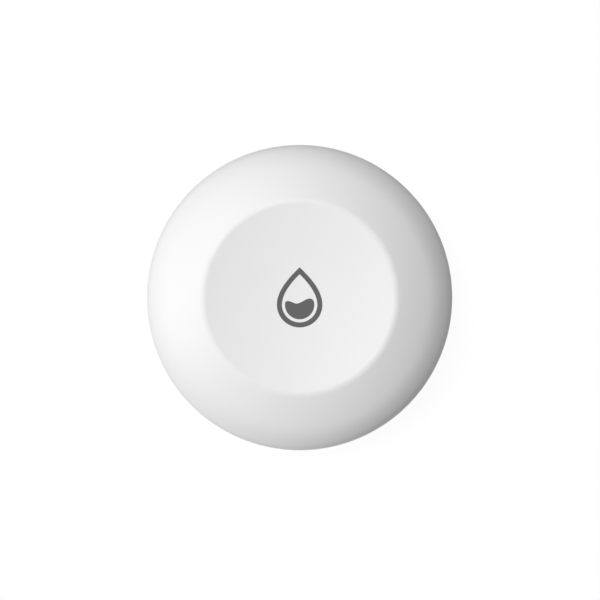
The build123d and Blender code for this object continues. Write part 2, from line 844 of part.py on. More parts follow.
# Circuit board
with BuildPart() as circuit_board:
    ring(0, board_radius, board_bottom, board_top)
    with PolarLocations(boss_circle, boss_count, start_angle=boss_first_angle):
        post(board_hole_diameter / 2, board_bottom - overrun, board_top + overrun, Mode.SUBTRACT)
    with PolarLocations(holder_inner + holder_wall / 2, 2):
        peg_hole = holder_peg_diameter / 2 + holder_peg_gap
        post(peg_hole, board_bottom - overrun, board_top + overrun, Mode.SUBTRACT)
circuit_board.part.label = "circuit_board"
export_step(circuit_board.part, "parts/circuit_board.step")

# Tactile switch: base, leads, frame, dome and plunger
with BuildPart() as switch_base:
    block((switch_side, switch_side, switch_plate_bottom - board_top), 0, 0, board_top)
    post(switch_cavity_diameter / 2, dome_bottom, switch_top, Mode.SUBTRACT)
switch_base.part.label = "switch_base"
export_step(switch_base.part, "parts/switch_base.step")

with BuildPart() as switch_leads:
    lead_sizes = (switch_lead_reach, switch_lead_width, switch_lead_height)
    lead_x = (switch_side + switch_lead_reach) / 2
    for side in (-1, 1):
        for end in (-1, 1):
            block(lead_sizes, side * lead_x, end * switch_lead_spacing / 2, board_top)
switch_leads.part.label = "switch_leads"
export_step(switch_leads.part, "parts/switch_leads.step")

with BuildPart() as switch_frame:
    block((switch_side, switch_side, switch_plate), 0, 0, switch_plate_bottom)
    stem_hole = switch_plunger_diameter / 2 + switch_gap
    post(stem_hole, switch_plate_bottom - overrun, switch_top + overrun, Mode.SUBTRACT)
    for side in (-1, 1):
        tab_y = side * (switch_side + switch_plate) / 2
        tab_sizes = (switch_tab_width, switch_plate, switch_tab_height)
        block(tab_sizes, 0, tab_y, switch_top - switch_tab_height)
switch_frame.part.label = "switch_frame"
export_step(switch_frame.part, "parts/switch_frame.step")

with BuildPart() as switch_dome:
    dome_rise = dome_top - dome_bottom - switch_dome_metal
    dome_reach = switch_dome_diameter / 2
    dome_curve = (dome_reach**2 + dome_rise**2) / (2 * dome_rise)
    dome_angle = degrees(asin(dome_reach / dome_curve))
    with BuildSketch(Plane.XZ):
        with BuildLine():
            upper = JernArc((0, dome_top), (1, 0), dome_curve, -dome_angle)
            under_start = (0, dome_top - switch_dome_metal)
            under = JernArc(under_start, (1, 0), dome_curve, -dome_angle)
            Line(upper @ 0, under @ 0)
            Line(upper @ 1, under @ 1)
        make_face()
    revolve(axis=Axis.Z)
switch_dome.part.label = "switch_dome"
export_step(switch_dome.part, "parts/switch_dome.step")

with BuildPart() as switch_plunger:
    ring(0, switch_plunger_flange / 2, plunger_flange_bottom, plunger_flange_top)
    ring(0, switch_plunger_diameter / 2, plunger_flange_bottom, plunger_top)
    chamfer(switch_plunger.edges().group_by(Axis.Z)[-1], switch_plate)
switch_plunger.part.label = "switch_plunger"
export_step(switch_plunger.part, "parts/switch_plunger.step")

# Parts soldered on the board
with BuildPart() as status_led:
    led_x, led_y = board_place(led_place_shares)
    block(led_sizes, led_x, led_y, board_top)
    block(led_lens_sizes, led_x, led_y, board_top + led_sizes[2])
status_led.part.label = "status_led"
export_step(status_led.part, "parts/status_led.step")

with BuildPart() as radio_chip:
    block((radio_side, radio_side, radio_height), *board_place(radio_place_shares), board_top)
    chamfer(radio_chip.edges().group_by(Axis.Z)[-1], crystal_lid_inset / 2)
radio_chip.part.label = "radio_chip"
export_step(radio_chip.part, "parts/radio_chip.step")

with BuildPart() as crystals:
    crystal_kinds = ((crystal_sizes, crystal_place_shares), (clock_sizes, clock_place_shares))
    for sizes, place_shares in crystal_kinds:
        across, along, high = sizes
        lid = (across - 2 * crystal_lid_inset, along - 2 * crystal_lid_inset, high / 4)
        block((across, along, high * 3 / 4), *board_place(place_shares), board_top)
        block(lid, *board_place(place_shares), board_top + high * 3 / 4)
crystals.part.label = "crystals"
export_step(crystals.part, "parts/crystals.step")

with BuildPart() as reservoir_capacitor:
    block(reservoir_sizes, *board_place(reservoir_place_shares), board_top)
    chamfer(reservoir_capacitor.edges().group_by(Axis.Z)[-1], crystal_lid_inset)
reservoir_capacitor.part.label = "reservoir_capacitor"
export_step(reservoir_capacitor.part, "parts/reservoir_capacitor.step")

with BuildPart() as transistors:
    across, along, high = transistor_sizes
    for side in (-1, 1):
        middle_x = side * transistor_place_share * board_radius
        middle_y = transistor_side_share * board_radius
        block(transistor_sizes, middle_x, middle_y, board_top)
        leg_sizes = (transistor_lead, transistor_lead, switch_lead_height)
        leg_x = (across + transistor_lead) / 2
        block(leg_sizes, middle_x + leg_x, middle_y, board_top)
        block(leg_sizes, middle_x - leg_x, middle_y - along / 3, board_top)
        block(leg_sizes, middle_x - leg_x, middle_y + along / 3, board_top)
transistors.part.label = "transistors"
export_step(transistors.part, "parts/transistors.step")

with BuildPart() as resistors:
    with Locations((*board_place(resistor_place_shares), 0)):
        with GridLocations(*resistor_pitch, *resistor_counts):
            block(resistor_sizes, 0, 0, board_top)
resistors.part.label = "resistors"
export_step(resistors.part, "parts/resistors.step")

with BuildPart() as capacitors:
    with Locations((*board_place(capacitor_place_shares), 0)):
        with GridLocations(*capacitor_pitch, *capacitor_counts):
            block(capacitor_sizes, 0, 0, board_top)
capacitors.part.label = "capacitors"
export_step(capacitors.part, "parts/capacitors.step")

# Copper on the board: the antenna along its edge, and a row of test pads
with BuildPart() as antenna_trace:
    track_outer = board_radius - antenna_edge_gap
    track_inner = track_outer - antenna_width
    sector(track_inner, track_outer, antenna_first_angle, antenna_arc, board_top, copper_top)
    for leg in range(2):
        sector(
            track_inner - antenna_leg_length,
            track_outer,
            antenna_first_angle + 2 * leg * antenna_leg_arc,
            antenna_leg_arc,
            board_top,
            copper_top,
        )
antenna_trace.part.label = "antenna_trace"
export_step(antenna_trace.part, "parts/antenna_trace.step")

with BuildPart() as test_pads:
    with Locations((*board_place(pad_row_place_shares), 0)):
        with GridLocations(pad_row_pitch, pad_row_pitch, pad_row_count, 1):
            post(pad_row_diameter / 2, board_top, copper_top)
test_pads.part.label = "test_pads"
export_step(test_pads.part, "parts/test_pads.step")

# Probes: a head under the shell and a shank through its boss
probe_nodes = {"probe_right": probe_radius, "probe_left": -probe_radius}
for node_name, probe_x in probe_nodes.items():
    with BuildPart() as probe:
        with Locations((probe_x, 0, 0)):
            post(probe_head_diameter / 2, probe_clearance, probe_seat_top)
            post(probe_shank_diameter / 2, probe_seat_top, probe_top)
        fillet(probe.edges().group_by(Axis.Z)[0], probe_head_edge)
    probe.part.label = node_name
    export_step(probe.part, f"parts/{node_name}.step")

with BuildPart() as probe_seals:
    with PolarLocations(probe_radius, 2):
        seal_top = probe_seat_top + probe_seal_height - probe_bore_gap
        post(seal_radius - probe_bore_gap, probe_seat_top, seal_top)
        post(bore_radius, probe_seat_top, seal_top, Mode.SUBTRACT)
probe_seals.part.label = "probe_seals"
export_step(probe_seals.part, "parts/probe_seals.step")

with BuildPart() as probe_nuts:
    with BuildSketch(Plane.XY.offset(probe_boss_top)) as hexagons:
        with PolarLocations(probe_radius, 2):
            RegularPolygon(probe_nut_width / 2, 6, major_radius=False)
            Circle(bore_radius, mode=Mode.SUBTRACT)
    extrude(hexagons.sketch, amount=probe_nut_height)
    top_edges = probe_nuts.edges().filter_by(GeomType.LINE).group_by(Axis.Z)[-1]
    chamfer(top_edges, probe_nut_edge)
probe_nuts.part.label = "probe_nuts"
export_step(probe_nuts.part, "parts/probe_nuts.step")

# Contact fingers under the board, one on the tail of each probe
with BuildPart() as probe_contacts:
    finger_start = probe_radius - finger_reach - finger_foot / 2
    finger_arm = finger_reach - finger_foot / 2
    for side in (-1, 1):
        leaf(
            finger_start,
            finger_foot,
            finger_arm,
            finger_contact / 2,
            board_bottom,
            probe_top + finger_gap,
            finger_metal,
            finger_width,
            side,
        )
probe_contacts.part.label = "probe_contacts"
export_step(probe_contacts.part, "parts/probe_contacts.step")

# Screws that hold the board on its bosses
with BuildPart() as board_screws:
    with PolarLocations(boss_circle, boss_count, start_angle=boss_first_angle):
        post(screw_shank_diameter / 2, board_top - screw_shank_length, board_top)
        post(screw_head_diameter / 2, board_top, board_top + screw_head_height)
    fillet(board_screws.edges().group_by(Axis.Z)[-1], screw_head_round)
    with PolarLocations(boss_circle, boss_count, start_angle=boss_first_angle):
        cross_floor = board_top + screw_head_height - screw_recess_depth
        arm = (screw_recess_length, screw_recess_width, screw_head_height)
        cross_arm = (screw_recess_width, screw_recess_length, screw_head_height)
        block(arm, 0, 0, cross_floor, Mode.SUBTRACT)
        block(cross_arm, 0, 0, cross_floor, Mode.SUBTRACT)
board_screws.part.label = "board_screws"
export_step(board_screws.part, "parts/board_screws.step")
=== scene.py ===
"""The looks of a water leak sensor: a white puck that lies on the floor, seen from above."""

import math

import bmesh
import bpy
import numpy as np
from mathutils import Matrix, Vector, noise


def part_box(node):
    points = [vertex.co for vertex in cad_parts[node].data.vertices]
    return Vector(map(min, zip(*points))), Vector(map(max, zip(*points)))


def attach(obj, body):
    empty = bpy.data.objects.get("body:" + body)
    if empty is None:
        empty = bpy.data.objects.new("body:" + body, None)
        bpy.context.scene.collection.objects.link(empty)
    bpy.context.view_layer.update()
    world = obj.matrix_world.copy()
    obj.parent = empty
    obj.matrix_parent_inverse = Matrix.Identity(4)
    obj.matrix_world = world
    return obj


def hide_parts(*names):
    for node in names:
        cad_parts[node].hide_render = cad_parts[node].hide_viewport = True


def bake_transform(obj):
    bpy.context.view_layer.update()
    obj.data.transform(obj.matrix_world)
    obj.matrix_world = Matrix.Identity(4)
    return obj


MM = 0.001
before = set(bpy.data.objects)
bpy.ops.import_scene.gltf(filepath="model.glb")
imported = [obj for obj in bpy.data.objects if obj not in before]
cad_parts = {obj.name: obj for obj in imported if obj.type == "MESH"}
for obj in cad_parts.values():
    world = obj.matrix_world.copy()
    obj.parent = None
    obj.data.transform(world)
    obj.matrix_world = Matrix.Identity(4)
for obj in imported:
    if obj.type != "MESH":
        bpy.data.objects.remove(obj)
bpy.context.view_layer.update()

# Where the puck stands in the square picture, in pixels
PICTURE = 600
PUCK_MIDDLE_X = 299.6
PUCK_MIDDLE_Y = 297.6
PUCK_WIDE = 305.2

# Camera, in millimetres, and how far it sees, in metres
LENS_MM = 180.0
SENSOR_MM = 36.0
WIDEST_HEIGHT = 8.0
FARTHEST_VIEW = 20

# Floor, in metres, and how much of it covers what lies under it
FLOOR_HEIGHT = -0.00002
FLOOR_HALF_WIDTH = 0.25
FLOOR_FADE = 0.03
FLOOR_SHARE = 0.09
FLOOR_FAR_SHARE = 0.01
FLOOR_GLOW = 0.45

# Light of the world below and above the horizon
LIGHT_BELOW = 0.35
LIGHT_ABOVE = 0.01
HORIZON_BLUR = 0.15

# Lamps, in metres: name, turn and height in degrees, level, and whether gloss mirrors them
LAMP_DISTANCE = 1.2
LAMP_SIZE = 0.7
LAMPS = (
    ("key", 130, 68, 0.765, True),
    ("side", 190, 37, 0.485, True),
    ("low_left", 240, -35, 0.25, False),
    ("low_right", 310, -20, 0.15, False),
    ("under", 30, -75, 0.08, False),
)

# Sizes of the case in millimetres, the same as in the CAD model
CASE_RADIUS = 25.0
CASE_HEIGHT = 15.0
WALL = 1.6
CREST_RADIUS = 15.45
CREST_ROUND = 2.6
DISH_DEPTH = 1.0
BEND_ROUND = 9.0
SIDE_ROUND = 4.0
SHOULDER_TOP_SLOPE = math.radians(18)
SHOULDER_LOW_SLOPE = math.radians(25)
SIDE_TOP_SLOPE = math.radians(50)
SEAM_HEIGHT = 5.0
SEAM_ROUND = 0.18
PRESS_WALL = 1.3
PRESS_GAP = 0.05
PRESS_LIP = 1.7
PRESS_SKIRT = 1.2
FLANGE_REACH = 1.0
FLANGE_THICKNESS = 0.8
KEY_WIDTH = 2.0
RIB_WIDTH = 0.8
RIB_DROP = 1.0
RIB_COUNT = 6
POST_RADIUS = 1.6
POST_TIP = 10.52
BEAD_GROOVE = (7.22, 7.98, 23.68)  # lowest and highest level, and reach

# Small shapes of the case, in millimetres and in shares of the sizes above
MOUTH_DROP = 0.12
KEY_ROOT = 0.4
POST_CHAMFER = 0.2
SEAM_BEND_SHARE = 0.3
ROOT_SHARE = 0.125

# Chain of tangent arcs that makes the skin
DISH_FLOOR = CASE_HEIGHT - DISH_DEPTH
CENTRE_REACH = (CREST_RADIUS**2 + DISH_DEPTH**2) / (2 * DISH_DEPTH)
DISH_CURVE = CENTRE_REACH - CREST_ROUND
DISH_SLOPE = math.asin(CREST_RADIUS / CENTRE_REACH)
RIM_WIDTH = CASE_RADIUS - CREST_RADIUS
SIDE_RUN = SIDE_ROUND * (1 - math.sin(SIDE_TOP_SLOPE))
BEND_RUN = BEND_ROUND * (math.sin(SIDE_TOP_SLOPE) - math.sin(SHOULDER_LOW_SLOPE))
SHOULDER_RUN = RIM_WIDTH - SIDE_RUN - BEND_RUN - CREST_ROUND * math.sin(SHOULDER_TOP_SLOPE)
SHOULDER_CURVE = SHOULDER_RUN / (math.sin(SHOULDER_LOW_SLOPE) - math.sin(SHOULDER_TOP_SLOPE))

# Seal, gasket and foam pad, in millimetres and in shares of their sizes
PAD_CROWN = 0.09
PAD_CROWN_POWER = 6
PAD_GRAIN = 5.5
PAD_PIT = 0.05
PAD_FLOOR_SHARES = (0.3, 0.6, 0.9)
PAD_LEVEL_SHARES = (0, 0.25, 0.5, 0.75)
PAD_EDGE_SHARE = 0.985
PAD_WAIST_SHARE = 0.02
PAD_SIDE_SHARE = 0.82
GASKET_WIDTH = 0.62
GASKET_RIB = 0.12
GASKET_RIBS = 3
GASKET_VALLEY_SHARE = 0.08
GASKET_EASES = (0.08, 0.08, 0.05)

# Probes and their nuts, in millimetres
PROBE_HEAD_HEIGHT = 1.0
PROBE_DOME = 0.12
PROBE_DOME_SHARE = 0.8
PROBE_EDGE = 0.1
PROBE_EASES = (0, 0.34, 0.08, 0)
PROBE_SHANK = 1.0
PROBE_PLAIN = 1.3
THREAD_START = 0.02
THREAD_PITCH = 0.4
THREAD_DEPTH = 0.2
NUT_BITE = 0.04
NUT_CHAMFER = 0.14
NUT_CIRCLE_SHARE = 0.95

# Coin cell, in millimetres
CELL_SHEET = 0.25
CELL_FLOOR_SHARES = (0.3, 0.6, 0.85)
CRIMP_REACH = 0.68
CRIMP_DROP = 0.04
CRIMP_HEM = 0.02
CAN_EASES = (0.5, 0.32, 0.08, 0.05, 0.1, 0.3)
CAP_INSET = 1.5
CAP_NECK = 0.62
CAP_NECK_WALL = 0.28
CAP_STEP = 0.85
CAP_EASES = (0.35, 0.12, 0.12, 0.06, 0.06, 0.1, 0.1, 0.2)
PLUS_LENGTH = 3.0
PLUS_WIDTH = 0.5
PLUS_THICKNESS = 0.012
PLUS_OFFSET = 6.5

# Springs, dome and clip, in millimetres and degrees
LEAF = 0.2
LEAF_BLUNT = 0.35
SPRING_FORK_SHARE = 0.24
SPRING_BEND_SHARE = 0.815
SPRING_ARM_SHARE = 0.42
SPRING_ARM_PLACE = 0.29
CONTACT_LENGTH = 5.4
CONTACT_FOOT = 2.2
DOME_METAL = 0.1
DOME_DIMPLE = 0.04
DOME_DIMPLE_WIDTH = 0.35
CLIP_SHEET = 0.22
CLIP_GAP = 0.03
CLIP_CROWN = 0.9
CLIP_BELLY = 0.32
CLIP_LIP = 0.18
CLIP_LIP_SHARE = 0.3
CLIP_EASES = (0.04, 0.3, 0, 0, 0.1, 0.04)
CLIP_ANGLE = 270
CLIP_HALF_ARC = 22
FINGER_PITCH = 15.4
FINGER_HALF_ARC = 6.4

# Places on the board as shares of its radius, and pitch and counts of rows of chips
RESISTOR_ROWS = ((-0.44, -0.34), (2.6, 1.8), (3, 4))
CAPACITOR_ROWS = ((0.42, -0.34), (2.6, 1.9), (3, 3))
RADIO_SHARES = (0.40, 0.34)
CRYSTALS = (((3.2, 2.5, 0.8), (0.15, 0.46)), ((1.6, 3.2, 0.9), (0.62, 0.16)))
TANTALUM_SHARES = (-0.46, 0.28)
TRANSISTOR_SHARES = (0.66, -0.20)
LED_SHARES = (-0.21, 0.0)

# Copper and solder on the board, in millimetres and degrees
COPPER = 0.02
SOLDER_REACH = 0.24
SOLDER_WAIST_SHARE = 0.25
SOLDER_CLIMB_SHARE = 0.65
BOSS_CIRCLE = 18.4
SCREW_PAD = (1.02, 1.9)
CHIP_PAD = (0.75, 0.95, COPPER)
CHIP_PAD_PLACE = 0.85
SPRING_PAD = (3.4, 3.8, COPPER)
SPRING_PAD_PLACE = 1.45
CLIP_PAD = (0.1, 2.5)
CLIP_PAD_HALF_ARC = 24
VIA_RING = (0.15, 0.32)
TRACK_WIDTH = 0.3
VIAS = (
    (-8.2, 3.1), (-7.4, -3.4), (2.2, 6.4), (5.6, -5.2),
    (7.8, 2.6), (-2.8, -7.6), (0.9, -6.1), (-4.4, 6.9),
)
TRACKS_BELOW = (
    ((-5.0, 1.4), (-5.0, 3.0), (-8.2, 3.1)),
    ((-5.6, -1.4), (-7.4, -3.4)),
    ((2.2, 6.4), (4.4, 4.2), (7.8, 2.6)),
    ((5.6, -5.2), (2.6, -5.2), (0.9, -6.1)),
    ((-2.8, -7.6), (-2.8, -9.4), (0, -10.4)),
    ((-4.4, 6.9), (-1.6, 8.4), (2.2, 6.4)),
)
TRACKS_ABOVE = (
    ((-8.2, 3.1), (-6.8, 4.4), (-6.8, 4.8)),
    ((2.2, 6.4), (3.2, 7.4), (5.4, 7.4)),
    ((7.8, 2.6), (8.5, 3.4), (8.5, 4.2)),
    ((-7.4, -3.4), (-8.0, -4.0)),
    ((5.6, -5.2), (6.6, -5.2)),
    ((12.0, 8.0), (16.4, 9.6)),
)

# Steps along the curves, and round the turned pieces from the largest to the smallest
CREST_STEPS = 14
SHOULDER_STEPS = 16
BEND_STEPS = 16
SIDE_STEPS = 18
DISH_STEPS = 40
PAD_RINGS = 45
FINE_STEPS = 24
CORD_STEPS = 32
CLIP_STEPS = 40
THREAD_LEVELS = 9
CURVE_STEPS = 8
CASE_TURN = 320
SEAL_TURN = 288
CELL_TURN = 256
PAD_TURN = 168
NUT_TURN = 144
SMALL_TURN = 96
DOT_TURN = 48
VIA_TURN = 24

# Radius under which a ring is a single point
TIP_RADIUS = 1e-9


def hill(start, curve, low, high, steps):
    """Points of an arc that starts at a slope and turns down to a steeper one."""
    centre = (start[0] - curve * math.sin(low), start[1] - curve * math.cos(low))
    slopes = np.linspace(low, high, steps + 1)
    return [(centre[0] + curve * math.sin(s), centre[1] + curve * math.cos(s)) for s in slopes]


def skin_profile(inset):
    """The skin's arcs from the crest circle outwards and down, inset into the wall."""
    arcs = (
        (CREST_ROUND, 0, SHOULDER_TOP_SLOPE, CREST_STEPS),
        (SHOULDER_CURVE, SHOULDER_TOP_SLOPE, SHOULDER_LOW_SLOPE, SHOULDER_STEPS),
        (BEND_ROUND, SHOULDER_LOW_SLOPE, SIDE_TOP_SLOPE, BEND_STEPS),
        (SIDE_ROUND, SIDE_TOP_SLOPE, math.pi / 2, SIDE_STEPS),
    )
    points = [(CREST_RADIUS, CASE_HEIGHT - inset)]
    for curve, low, high, steps in arcs:
        points += hill(points[-1], curve - inset, low, high, steps)[1:]
    return points


def dish_profile(inset):
    """The dish from its middle to the crest circle, inset into the wall."""
    bottom, top = DISH_FLOOR - inset, CASE_HEIGHT - inset
    curve, crest = DISH_CURVE + inset, CREST_ROUND - inset
    points = []
    for slope in np.linspace(0, DISH_SLOPE, DISH_STEPS + 1):
        points.append((curve * math.sin(slope), bottom + curve * (1 - math.cos(slope))))
    for slope in np.linspace(DISH_SLOPE, 0, CURVE_STEPS + 1)[1:]:
        points.append((CREST_RADIUS - crest * math.sin(slope), top - crest * (1 - math.cos(slope))))
    return points


def ring_of(radius, height, middle, steps):
    """A level ring of points, or one point where the radius is zero."""
    if radius < TIP_RADIUS:
        return [(*middle, height)]
    turns = [2 * math.pi * step / steps for step in range(steps)]
    return [(middle[0] + radius * math.cos(t), middle[1] + radius * math.sin(t), height) for t in turns]


def oblong(left, right, start, stop):
    """The corners of an oblong between two sides, from one level to another."""
    return [(left, start), (right, start), (right, stop), (left, stop)]


def turned(points, angle):
    """Points of a plan turned about the middle."""
    cosine, sine = math.cos(angle), math.sin(angle)
    return [(x * cosine - y * sine, x * sine + y * cosine) for x, y in points]


def gentle(share):
    """A share from 0 to 1 that starts and ends gently."""
    return share * share * (3 - 2 * share)


def mm_box(node):
    """A CAD node's lowest and highest corners, in millimetres."""
    low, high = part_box(node)
    return [c / MM for c in low], [c / MM for c in high]


def eased(corners, eases, steps=4, limit_share=0.48):
    """An outline of radius and height whose corners are rounded off, each by its ease."""
    points = []
    for index, ((x, z), ease) in enumerate(zip(corners, eases)):
        if not ease:
            points.append((x, z))
            continue
        ends = []
        for other in (corners[index - 1], corners[(index + 1) % len(corners)]):
            share = min(ease / math.dist((x, z), other), limit_share)
            ends.append((x + (other[0] - x) * share, z + (other[1] - z) * share))
        (a, b), (c, d) = ends
        for step in range(steps + 1):
            t = step / steps
            one, two, three = (1 - t) ** 2, 2 * t * (1 - t), t**2
            points.append((one * a + two * x + three * c, one * b + two * z + three * d))
    return points


class Build:
    """Gathers closed shells, in millimetres, into one mesh object in metres."""

    def __init__(self):
        self.points = []
        self.faces = []
        self.slots = []

    def add(self, points, faces, slot):
        """Adds a shell's points and faces."""
        base = len(self.points)
        self.points.extend(points)
        self.faces.extend([tuple(base + i for i in face) for face in faces])
        self.slots.extend([slot] * len(faces))

    def loft(self, rings, slot=0, closed=False, capped=False):
        """Adds a skin over rings of points, where a ring of one point is a tip."""
        points, rows = [], []
        for ring in rings:
            rows.append(list(range(len(points), len(points) + len(ring))))
            points.extend(ring)
        steps = max(len(row) for row in rows)
        rows = [row * steps if len(row) == 1 else row for row in rows]
        pairs = list(zip(rows, rows[1:]))
        if closed:
            pairs.append((rows[-1], rows[0]))
        faces = []
        for one, two in pairs:
            for step in range(steps):
                after = (step + 1) % steps
                face = [one[step], two[step], two[after], one[after]]
                kept = [p for i, p in enumerate(face) if p != face[i - 1]]
                if len(kept) > 2:
                    faces.append(tuple(kept))
        if capped:
            faces += [tuple(rows[0]), tuple(reversed(rows[-1]))]
        self.add(points, faces, slot)

    def turn(self, outline, steps=CASE_TURN, middle=(0, 0), slot=0, closed=True):
        """Adds an outline of radius and height turned about an upright axis."""
        self.loft([ring_of(r, z, middle, steps) for r, z in outline], slot, closed)

    def sweep(self, outline, start, stop, steps):
        """Adds an outline of radius and height turned between two angles in degrees."""
        rings = []
        for step in range(steps + 1):
            angle = math.radians(start + (stop - start) * step / steps)
            rings.append([(r * math.cos(angle), r * math.sin(angle), z) for r, z in outline])
        self.loft(rings, capped=True)

    def prism(self, outline, low, high):
        """Adds a flat outline stood up between two heights."""
        self.loft([[(x, y, z) for x, y in outline] for z in (low, high)], capped=True)

    def box(self, low, high, slot=0):
        """Adds a block between two corners."""
        across, along, up = zip(low, high)
        corners = [(x, y, z) for z in up for y in along for x in across]
        faces = [(0, 2, 3, 1), (4, 5, 7, 6), (0, 1, 5, 4), (2, 6, 7, 3), (0, 4, 6, 2), (1, 3, 7, 5)]
        self.add(corners, faces, slot)

    def box_at(self, sizes, x, y, z, slot=0):
        """Adds a block that stands on height z, centred on x and y."""
        across, along, high = sizes
        self.box((x - across / 2, y - along / 2, z), (x + across / 2, y + along / 2, z + high), slot)

    def make(self, name, materials, body, sharp=35, bevel=0):
        """Makes the object, gives it its materials and puts it on its body, if it has one."""
        mesh = bpy.data.meshes.new(name)
        mesh.from_pydata([tuple(MM * c for c in p) for p in self.points], [], self.faces)
        mesh.validate()
        for material in materials:
            mesh.materials.append(material)
        if len(materials) > 1:
            mesh.polygons.foreach_set("material_index", self.slots)
        thing = bpy.data.objects.new(name, mesh)
        bpy.context.scene.collection.objects.link(thing)
        face_outwards(mesh)
        if bevel:
            edge = thing.modifiers.new("edge", "BEVEL")
            edge.width = bevel * MM
            edge.segments = 2
            edge.limit_method = "ANGLE"
            edge.angle_limit = math.radians(sharp)
        mesh.shade_smooth()
        mesh.set_sharp_from_angle(angle=math.radians(sharp))
        if body:
            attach(thing, body)
        return thing


def face_outwards(mesh):
    """Turns each shell's faces outwards."""
    work = bmesh.new()
    work.from_mesh(mesh)
    bmesh.ops.recalc_face_normals(work, faces=work.faces)
    work.to_mesh(mesh)
    work.free()


def new_material(name, colour, roughness, metallic=0.0):
    """A Principled material, with its node tree and its shader."""
    material = bpy.data.materials.new(name)
    material.use_nodes = True
    shader = material.node_tree.nodes["Principled BSDF"]
    shader.inputs["Base Color"].default_value = (*colour, 1)
    shader.inputs["Roughness"].default_value = roughness
    shader.inputs["Metallic"].default_value = metallic
    return material, material.node_tree, shader


def place(tree):
    """The point on the object, in metres, that rides with the piece."""
    return tree.nodes.new("ShaderNodeTexCoord").outputs["Object"]


def grain(tree, scale, detail):
    """Noise of a given scale, from 0 to 1."""
    node = tree.nodes.new("ShaderNodeTexNoise")
    node.inputs["Scale"].default_value = scale
    node.inputs["Detail"].default_value = detail
    tree.links.new(place(tree), node.inputs["Vector"])
    return node.outputs["Fac"]


def spread(tree, value, low, high, start=0.0, stop=1.0):
    """Maps start to stop on to low to high."""
    node = tree.nodes.new("ShaderNodeMapRange")
    node.inputs["From Min"].default_value = start
    node.inputs["From Max"].default_value = stop
    node.inputs["To Min"].default_value = low
    node.inputs["To Max"].default_value = high
    tree.links.new(value, node.inputs["Value"])
    return node.outputs["Result"]


def tint(tree, value, dark, light):
    """Mixes two colours by a value from 0 to 1."""
    mix = tree.nodes.new("ShaderNodeMix")
    mix.data_type = "RGBA"
    mix.inputs["A"].default_value = (*dark, 1)
    mix.inputs["B"].default_value = (*light, 1)
    tree.links.new(value, mix.inputs["Factor"])
    return mix.outputs["Result"]


def surface(tree, shader, colour, rough, height, distance, strength):
    """Gives a shader its colour and roughness, and a surface raised by a height from 0 to 1."""
    node = tree.nodes.new("ShaderNodeBump")
    node.inputs["Distance"].default_value = distance
    node.inputs["Strength"].default_value = strength
    tree.links.new(height, node.inputs["Height"])
    for name, value in (("Base Color", colour), ("Roughness", rough), ("Normal", node.outputs["Normal"])):
        tree.links.new(value, shader.inputs[name])


def shell_white():
    """Moulded white plastic with a very fine satin texture."""
    material, tree, shader = new_material("moulded_white", (0.82, 0.82, 0.82), 0.5)
    fine = grain(tree, scale=9000, detail=1.0)
    cloudy = grain(tree, scale=160, detail=3.0)
    rough = spread(tree, fine, low=0.46, high=0.54)
    colour = tint(tree, cloudy, dark=(0.812, 0.813, 0.812), light=(0.828, 0.828, 0.826))
    surface(tree, shader, colour, rough, fine, distance=0.000002, strength=0.35)
    shader.inputs["Specular IOR Level"].default_value = 0.42
    return material


def print_grey():
    """Grey printing ink, a little uneven."""
    material, tree, shader = new_material("ink_grey", (0.099, 0.099, 0.099), 0.6)
    speckle = grain(tree, scale=5200, detail=2.0)
    colour = tint(tree, speckle, dark=(0.087, 0.087, 0.088), light=(0.111, 0.111, 0.11))
    rough = spread(tree, speckle, low=0.52, high=0.68)
    surface(tree, shader, colour, rough, speckle, distance=0.000002, strength=0.4)
    shader.inputs["Specular IOR Level"].default_value = 0.3
    return material


def plain(name, colour, roughness, metallic=0.0, scale=2600, change=0.12, depth=0.000004):
    """A finish with fine unevenness in colour, roughness and height."""
    material, tree, shader = new_material(name, colour, roughness, metallic)
    speckle = grain(tree, scale, detail=3.0)
    dark = tuple(c * (1 - change) for c in colour)
    light = tuple(min(1.0, c * (1 + change)) for c in colour)
    speckled = tint(tree, speckle, dark, light)
    uneven, smoothest = 0.08, 0.03
    low, high = max(smoothest, roughness - uneven), min(1.0, roughness + uneven)
    rough = spread(tree, speckle, low, high)
    surface(tree, shader, speckled, rough, speckle, depth, strength=0.5)
    return material


def turned_steel(name, colour, roughness):
    """Steel with fine scratches and faint stains."""
    material, tree, shader = new_material(name, colour, roughness, metallic=1.0)
    stretch = tree.nodes.new("ShaderNodeMapping")
    stretch.inputs["Scale"].default_value = (9000, 500, 2500)
    tree.links.new(place(tree), stretch.inputs["Vector"])
    scratch = tree.nodes.new("ShaderNodeTexNoise")
    scratch.inputs["Scale"].default_value = 1.0
    scratch.inputs["Detail"].default_value = 2.0
    tree.links.new(stretch.outputs["Vector"], scratch.inputs["Vector"])
    stain = grain(tree, scale=420, detail=3.0)
    stain_share = 0.88
    dark = tuple(c * stain_share for c in colour)
    stained = tint(tree, stain, dark, colour)
    scratches = scratch.outputs["Fac"]
    rough = spread(tree, scratches, low=roughness - 0.07, high=roughness + 0.12)
    surface(tree, shader, stained, rough, scratches, distance=0.000002, strength=0.4)
    return material


